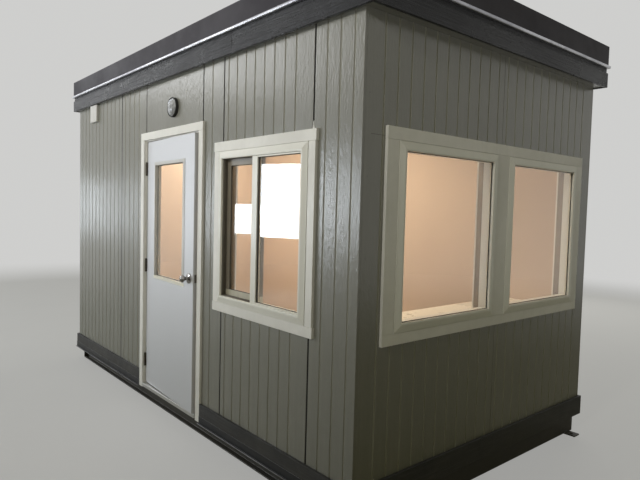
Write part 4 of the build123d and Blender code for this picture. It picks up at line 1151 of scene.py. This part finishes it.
class BOOTH_OT_hinges(PieceOperator, bpy.types.Operator):
    """Hinge leaves and knuckles"""

    bl_idname = "booth.hinges"
    bl_label = "Hinges"

    def build(self, sizes):
        sunk, cap_radius, cap_rise = 0.0004, 0.0048, 0.0022
        for node_name in ("hinge_jamb_leaves", "hinge_door_leaves"):
            dress(node_name, "bronze", 0.0004)
        caps = []
        for low, high in body_boxes("hinge_jamb_leaves"):
            caps += [((PIN.x, PIN.y, high.z - sunk), (0, 0, 1)), ((PIN.x, PIN.y, low.z + sunk), (0, 0, -1))]
        heads("hinge_pin_caps", caps, cap_radius, cap_rise, "bronze", "hinge_jamb_leaves", sides=24)


class BOOTH_OT_windows(PieceOperator, bpy.types.Operator):
    """Window casings, frames, sashes and glass"""

    bl_idname = "booth.windows"
    bl_label = "Windows"

    FRAMES = (("front_window_frame", 1), ("end_window_frame_front", 0), ("end_window_frame_back", 0))
    PANES = (("front_window_glass", 1), ("end_window_glass", 0))

    def build(self, sizes):
        from_middle, rail_height, rail_painted_light = 0.2, 0.0415, 0.8
        dress("front_window_casing", "trim_paint", sizes.board_edge)
        dress("end_window_casing", "trim_paint", sizes.board_edge)
        low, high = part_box("front_window_casing")
        middle = (low.x + high.x) / 2
        outer = only_bodies("front_window_sashes", lambda low, high: high.x > middle + from_middle)
        finished_copy("front_window_sashes", outer, "vinyl_finish", 0.0012, name="outer_sash")
        # The inner sash gets painted shade, and painted light on its bottom rail.
        inner = only_bodies("front_window_sashes", lambda low, high: low.x < middle - from_middle)
        paint_low_rail_light(inner, rail_height, rail_painted_light)
        finished_copy("front_window_sashes", inner, "sash_shade_vinyl", 0.0012, name="inner_sash")
        for node_name, normal in self.FRAMES:
            finished_copy(node_name, mitred(merged_copy(node_name), normal), "vinyl_finish", 0.0006)
        for node_name, normal in self.PANES:
            dress(node_name, "window_glass", 0.0004)
        self.gaskets(sizes.gasket_width)
        self.reveal_shade_strips()
        self.tracks()
        self.weep_slots()

    def gaskets(self, width):
        """Rubber round each pane, outside and inside."""
        for node_name, normal in self.PANES:
            rings = []
            for low, high in body_boxes(node_name):
                rings += pane_rings(low, high, normal, width)
            strips(node_name.replace("glass", "gaskets"), rings, "gasket", "front_window_frame")

    def reveal_shade_strips(self):
        """Brown-grey strips that line the wall's opening between each frame and the casing inside, as painted
        shade in the reveal.
        """
        from_frame, skin, casing = 0.009, 0.0008, 0.013
        trims = body_boxes("inside_window_trim")
        boxes = []
        for node_name, normal in self.FRAMES:
            low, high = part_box(node_name)
            across = Vector((1, 1, 1))
            across[normal] = 0
            trim = (min if normal else max)(trims, key=lambda box: (box[0] + box[1]).x)
            first, second = low + across * from_frame, high - across * from_frame
            first[normal], second[normal] = trim[0][normal], trim[1][normal]
            if normal:
                second[normal] -= casing
            else:
                first[normal] += casing
            boxes += ring_boxes(first, second, normal, skin)
        strips("window_reveal_shade", boxes, "reveal_shade", "inside_window_trim", rounding=0.0002)

    def tracks(self):
        """Ribbed liner in the recess beside the inner sash, brown-grey as painted shade of the recess, and
        the seal on the meeting stile.
        """
        skin, rib, rib_rise, rib_setback, seal_width, seal_rise = 0.0015, 0.0025, 0.004, 0.01, 0.011, 0.006
        front_gap, back_gap = 0.006, 0.0005
        (inner_low, inner_high), (outer_low, _) = body_boxes("front_window_sashes")
        front, back = outer_low.y + front_gap, inner_low.y - back_gap
        left, right = inner_low.x, outer_low.x
        low, high = inner_low.z, inner_high.z
        boxes = [
            ((left, front, low), (left + skin, back, high)),
            ((left + skin, front, high - skin), (right, back, high)),
            ((left + skin, front, low), (right, back, low + skin)),
        ]
        for share in (0.2, 0.5, 0.8):
            line = front + share * (back - front)
            foot, behind = low + skin, line + rib
            boxes.append(((left + skin, line, foot), (left + skin + rib_rise, behind, high - skin)))
            boxes.append(((left + rib_setback, line, foot), (right, behind, foot + rib_rise)))
        strips("front_window_tracks", boxes, "window_track_shade", "front_window_frame", rounding=0.0003)
        low, high = max(body_boxes("front_window_glass"), key=lambda box: box[1].x)
        seal = [((low.x, low.y - seal_rise, low.z), (low.x + seal_width, low.y, high.z))]
        strips("meeting_seal", seal, "gasket", "front_window_frame", rounding=0.0008)

    def weep_slots(self):
        """Dark drain slots in the bottom of the front window's frame."""
        slot_length, slot_height, slot_depth = 0.03, 0.005, 0.004
        setback, from_side, rise = 0.0085, 0.055, 0.011
        low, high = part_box("front_window_frame")
        face, foot, half = low.y + setback, low.z + rise, slot_length / 2
        boxes = [
            ((line - half, face, foot), (line + half, face + slot_depth, foot + slot_height))
            for line in (low.x + from_side, high.x - from_side)
        ]
        strips("weep_slots", boxes, "lamp_black", "front_window_frame", rounding=0.0003)


class BOOTH_OT_wall_light(PieceOperator, bpy.types.Operator):
    """Round wall light over the door"""

    bl_idname = "booth.wall_light"
    bl_label = "Wall light"

    def build(self, sizes):
        depth, crown_rise, rim, back_gap = 0.024, 0.0203, 0.002, 0.0003
        lens_gap, seat_gap, seat_depth, floor_drop = 0.0004, 0.0002, 0.006, 0.001
        low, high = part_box("wall_light_body")
        radius = (high.x - low.x) / 2
        matrix = placed(Vector(((low.x + high.x) / 2, high.y, (low.z + high.z) / 2)), (0, -1, 0))
        reach = radius - 2 * rim - lens_gap
        back, front = depth - seat_depth, depth + crown_rise
        ring = [(0.0, back_gap), (radius - rim, back_gap), (radius, back_gap + rim)]
        ring += arc((radius - rim, depth - rim), rim, 0, 180, 10)
        ring += [(reach + seat_gap, back - floor_drop), (0.0, back - floor_drop)]
        turned("wall_light_ring", ring, matrix, "lamp_black", "wall_light_body")
        turned("wall_light_dome", self.dome(reach, back, front), matrix, "lens_plastic", "wall_light_lens")

    def dome(self, reach, back, front):
        """Half outline of the ribbed lens, from its crown to its flat back."""
        rings, groove_light, lip, edge = 8, 0.0011, 0.002, 0.0006
        flank, flank_depth = 0.22 / rings, groove_light * 0.4
        outline = [(0.0, front)]
        for ring in range(1, rings):
            share = ring / rings
            level = front - (front - back - lip) * share * share
            outline.append((reach * (share - flank), level + flank_depth))
            outline.append((reach * share, level - groove_light))
            outline.append((reach * (share + flank), level - flank_depth))
        return outline + [(reach - edge, back + lip), (reach - edge, back), (0.0, back)]


class BOOTH_OT_cover_box(PieceOperator, bpy.types.Operator):
    """Small cover box under the fascia"""

    bl_idname = "booth.cover_box"
    bl_label = "Cover box"

    def build(self, sizes):
        dress("cover_box", "cover_plastic", 0.004, segments=4)


class BOOTH_OT_counter(PieceOperator, bpy.types.Operator):
    """Counter under the end windows"""

    bl_idname = "booth.counter"
    bl_label = "Counter"

    def build(self, sizes):
        dress("counter_top", "laminate", 0.003, segments=3)
        dress("counter_cleats", "raw_wood", 0.001)


# Camera solved from the booth's own edges in the photo
CAMERA_PLACE = (4.0772, -3.1244, 1.668)
CAMERA_YAW = -0.8657
CAMERA_PITCH = -0.0547
CAMERA_ROLL = 0.0259
CAMERA_FOCAL_PIXELS = 557.36
IMAGE_WIDTH_PIXELS = 640.0
SENSOR_WIDTH = 36.0

BACKDROP = (0.62, 0.62, 0.61)
FILL_COLOUR, FILL_STRENGTH = (1.0, 0.97, 0.34), 0.07
FLOOR_REACH = 30.0

# Each lamp: its name, place and target, size, power, colour, whether gloss shows it, and its spread
LAMPS = (
    ("left_panel", (-4.75, -6.5, 1.82), (-2.7, -1.2, 1.7), (2.7, 1.55), 125, (0.86, 0.93, 1.0), True, 180),
    ("left_gap", (-7.1, -6.5, 1.4), (-5.0, -1.2, 1.5), (1.1, 0.7), 22, (0.86, 0.93, 1.0), True, 180),
    ("far_panel", (-21.5, -6.5, 1.5), (-21.5, -1.2, 1.5), (5.0, 2.2), 330, (0.84, 0.92, 1.0), True, 180),
    ("high_light", (-11.0, -6.5, 6.2), (-5.0, -1.2, 2.6), (9.0, 2.4), 200, (0.95, 0.97, 1.0), True, 180),
    ("front_key", (-2.3, -3.5, 4.3), (-2.3, -1.2, 3.4), (3.0, 0.7), 16, (1.0, 0.99, 0.95), False, 180),
    ("side_key", (3.3, -8.5, 5.0), (0.4, -1.2, 3.9), (1.0, 1.0), 42, (1.0, 0.99, 0.93), False, 60),
    ("end_fill", (7.5, -1.5, 3.2), (2.1, 0.0, 1.4), (3.0, 3.0), 2.5, (1.0, 0.95, 0.3), False, 180),
    ("back_fill", (-2.0, 8.0, 4.5), (0.0, 1.2, 1.4), (5.0, 3.0), 210, (1.0, 0.99, 0.96), False, 180),
    ("room_lamp", (-0.6, 0.1, 2.6), (-0.6, 0.1, 0.0), (2.6, 0.5), 64, (1.0, 0.86, 0.66), False, 180),
    ("counter_lamp", (1.6, -0.35, 2.6), (1.6, -0.35, 0.0), (0.3, 1.2), 6, (1.0, 0.87, 0.68), False, 180),
)


def photo_camera():
    """Puts the camera where the photo was taken from."""
    forward = Vector((
        math.cos(CAMERA_PITCH) * math.sin(CAMERA_YAW),
        math.cos(CAMERA_PITCH) * math.cos(CAMERA_YAW),
        math.sin(CAMERA_PITCH),
    ))
    right = Vector((math.cos(CAMERA_YAW), -math.sin(CAMERA_YAW), 0.0))
    up = right.cross(forward)
    rolled_right = math.cos(CAMERA_ROLL) * right + math.sin(CAMERA_ROLL) * up
    rolled_up = math.cos(CAMERA_ROLL) * up - math.sin(CAMERA_ROLL) * right
    data = bpy.data.cameras.new("photo_camera")
    data.sensor_width = SENSOR_WIDTH
    data.lens = CAMERA_FOCAL_PIXELS * SENSOR_WIDTH / IMAGE_WIDTH_PIXELS
    camera = scene_object("photo_camera", data)
    turn = Matrix((rolled_right, rolled_up, -forward)).transposed().to_4x4()
    camera.matrix_world = Matrix.Translation(CAMERA_PLACE) @ turn
    bpy.context.scene.camera = camera


def area_lamp(name, place, target, size, power, colour, seen_in_gloss, spread_degrees):
    """Adds a soft rectangular lamp that faces its target."""
    data = bpy.data.lights.new(name, "AREA")
    data.shape = "RECTANGLE"
    data.size, data.size_y = size
    data.energy = power
    data.color = colour
    data.spread = math.radians(spread_degrees)
    lamp = scene_object(name, data)
    lamp.location = place
    lamp.rotation_mode = "QUATERNION"
    lamp.rotation_quaternion = (Vector(target) - Vector(place)).to_track_quat("-Z", "Y")
    lamp.visible_camera = False
    lamp.visible_glossy = seen_in_gloss


def mix_shaders(tree, amount, first, second):
    """Mixes the shaders of two nodes by an amount."""
    ends = {0: amount, 1: first.outputs[0], 2: second.outputs[0]}
    return node(tree, "MixShader", ends).outputs[0]


def studio_world():
    """A dim warm fill, which camera, glossy and transmitted rays see as the pale backdrop."""
    world = bpy.data.worlds.new("studio")
    bpy.context.scene.world = world
    world.use_nodes = True
    tree = world.node_tree
    tree.nodes.clear()
    rays = node(tree, "LightPath").outputs
    seen = math_node(tree, "MAXIMUM", rays["Is Camera Ray"], rays["Is Transmission Ray"])
    seen = math_node(tree, "MAXIMUM", seen, rays["Is Glossy Ray"])
    fill = node(tree, "Background", {"Color": FILL_COLOUR, "Strength": FILL_STRENGTH})
    pale = node(tree, "Background", {"Color": BACKDROP, "Strength": 1.0})
    both = mix_shaders(tree, seen, fill, pale)
    node(tree, "OutputWorld", {"Surface": both})


def floor_finish():
    """A pale floor that fades into the backdrop away from the booth."""
    finish, tree, shader, place = new_finish(Roughness=0.85)
    finish.name = "studio_floor"
    clouds = noise(tree, place, 1.5)
    plug(tree, shader["Base Color"], mix_colours(tree, clouds, (0.6, 0.59, 0.56), (0.56, 0.55, 0.52)))
    away = node(tree, "VectorMath", {0: place}, operation="LENGTH").outputs["Value"]
    seen = node(tree, "LightPath").outputs["Is Camera Ray"]
    fade = math_node(tree, "MAXIMUM", ramp(tree, away, 4.5, 13.0), product(tree, seen, 0.5))
    glow = node(tree, "Emission", {"Color": BACKDROP, "Strength": 1.0})
    both = mix_shaders(tree, fade, tree.nodes["Principled BSDF"], glow)
    plug(tree, tree.nodes["Material Output"].inputs["Surface"], both)
    return finish


class BOOTH_OT_stage(PieceOperator, bpy.types.Operator):
    """Pale floor, camera, lamps and background"""

    bl_idname = "booth.stage"
    bl_label = "Stage"

    def build(self, sizes):
        shape = bmesh.new()
        bmesh.ops.create_grid(shape, x_segments=1, y_segments=1, size=FLOOR_REACH)
        floor = scene_object("studio_floor", mesh_from("studio_floor", shape))
        floor.data.materials.append(floor_finish())
        bpy.context.scene.view_settings.view_transform = "Standard"
        photo_camera()
        studio_world()
        for lamp in LAMPS:
            area_lamp(*lamp)


# In the order in which they are written, which is also the order in which they run
OPERATORS = tuple(PieceOperator.__subclasses__())


class BOOTH_PT_panel(bpy.types.Panel):
    """Lists the booth's operators and its sizes and colours"""

    bl_idname = "BOOTH_PT_panel"
    bl_label = "Guard booth"
    bl_space_type = "VIEW_3D"
    bl_region_type = "UI"
    bl_category = "Booth"

    def draw(self, context):
        for operator in OPERATORS:
            self.layout.operator(operator.bl_idname)
        for group in (context.scene.booth_colours, context.scene.booth_sizes):
            for name in group.__annotations__:
                self.layout.prop(group, name)


CLASSES = (BoothColours, BoothSizes, *OPERATORS, BOOTH_PT_panel)


def register():
    for cls in CLASSES:
        bpy.utils.register_class(cls)
    bpy.types.Scene.booth_colours = PointerProperty(type=BoothColours)
    bpy.types.Scene.booth_sizes = PointerProperty(type=BoothSizes)


def unregister():
    del bpy.types.Scene.booth_sizes
    del bpy.types.Scene.booth_colours
    for cls in reversed(CLASSES):
        bpy.utils.unregister_class(cls)


def main():
    """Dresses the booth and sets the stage."""
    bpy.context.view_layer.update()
    register()
    for build_effect in EFFECTS:
        build_effect()
    for operator in OPERATORS:
        family, name = operator.bl_idname.split(".")
        getattr(getattr(bpy.ops, family), name)()


if __name__ == "__main__":
    main()
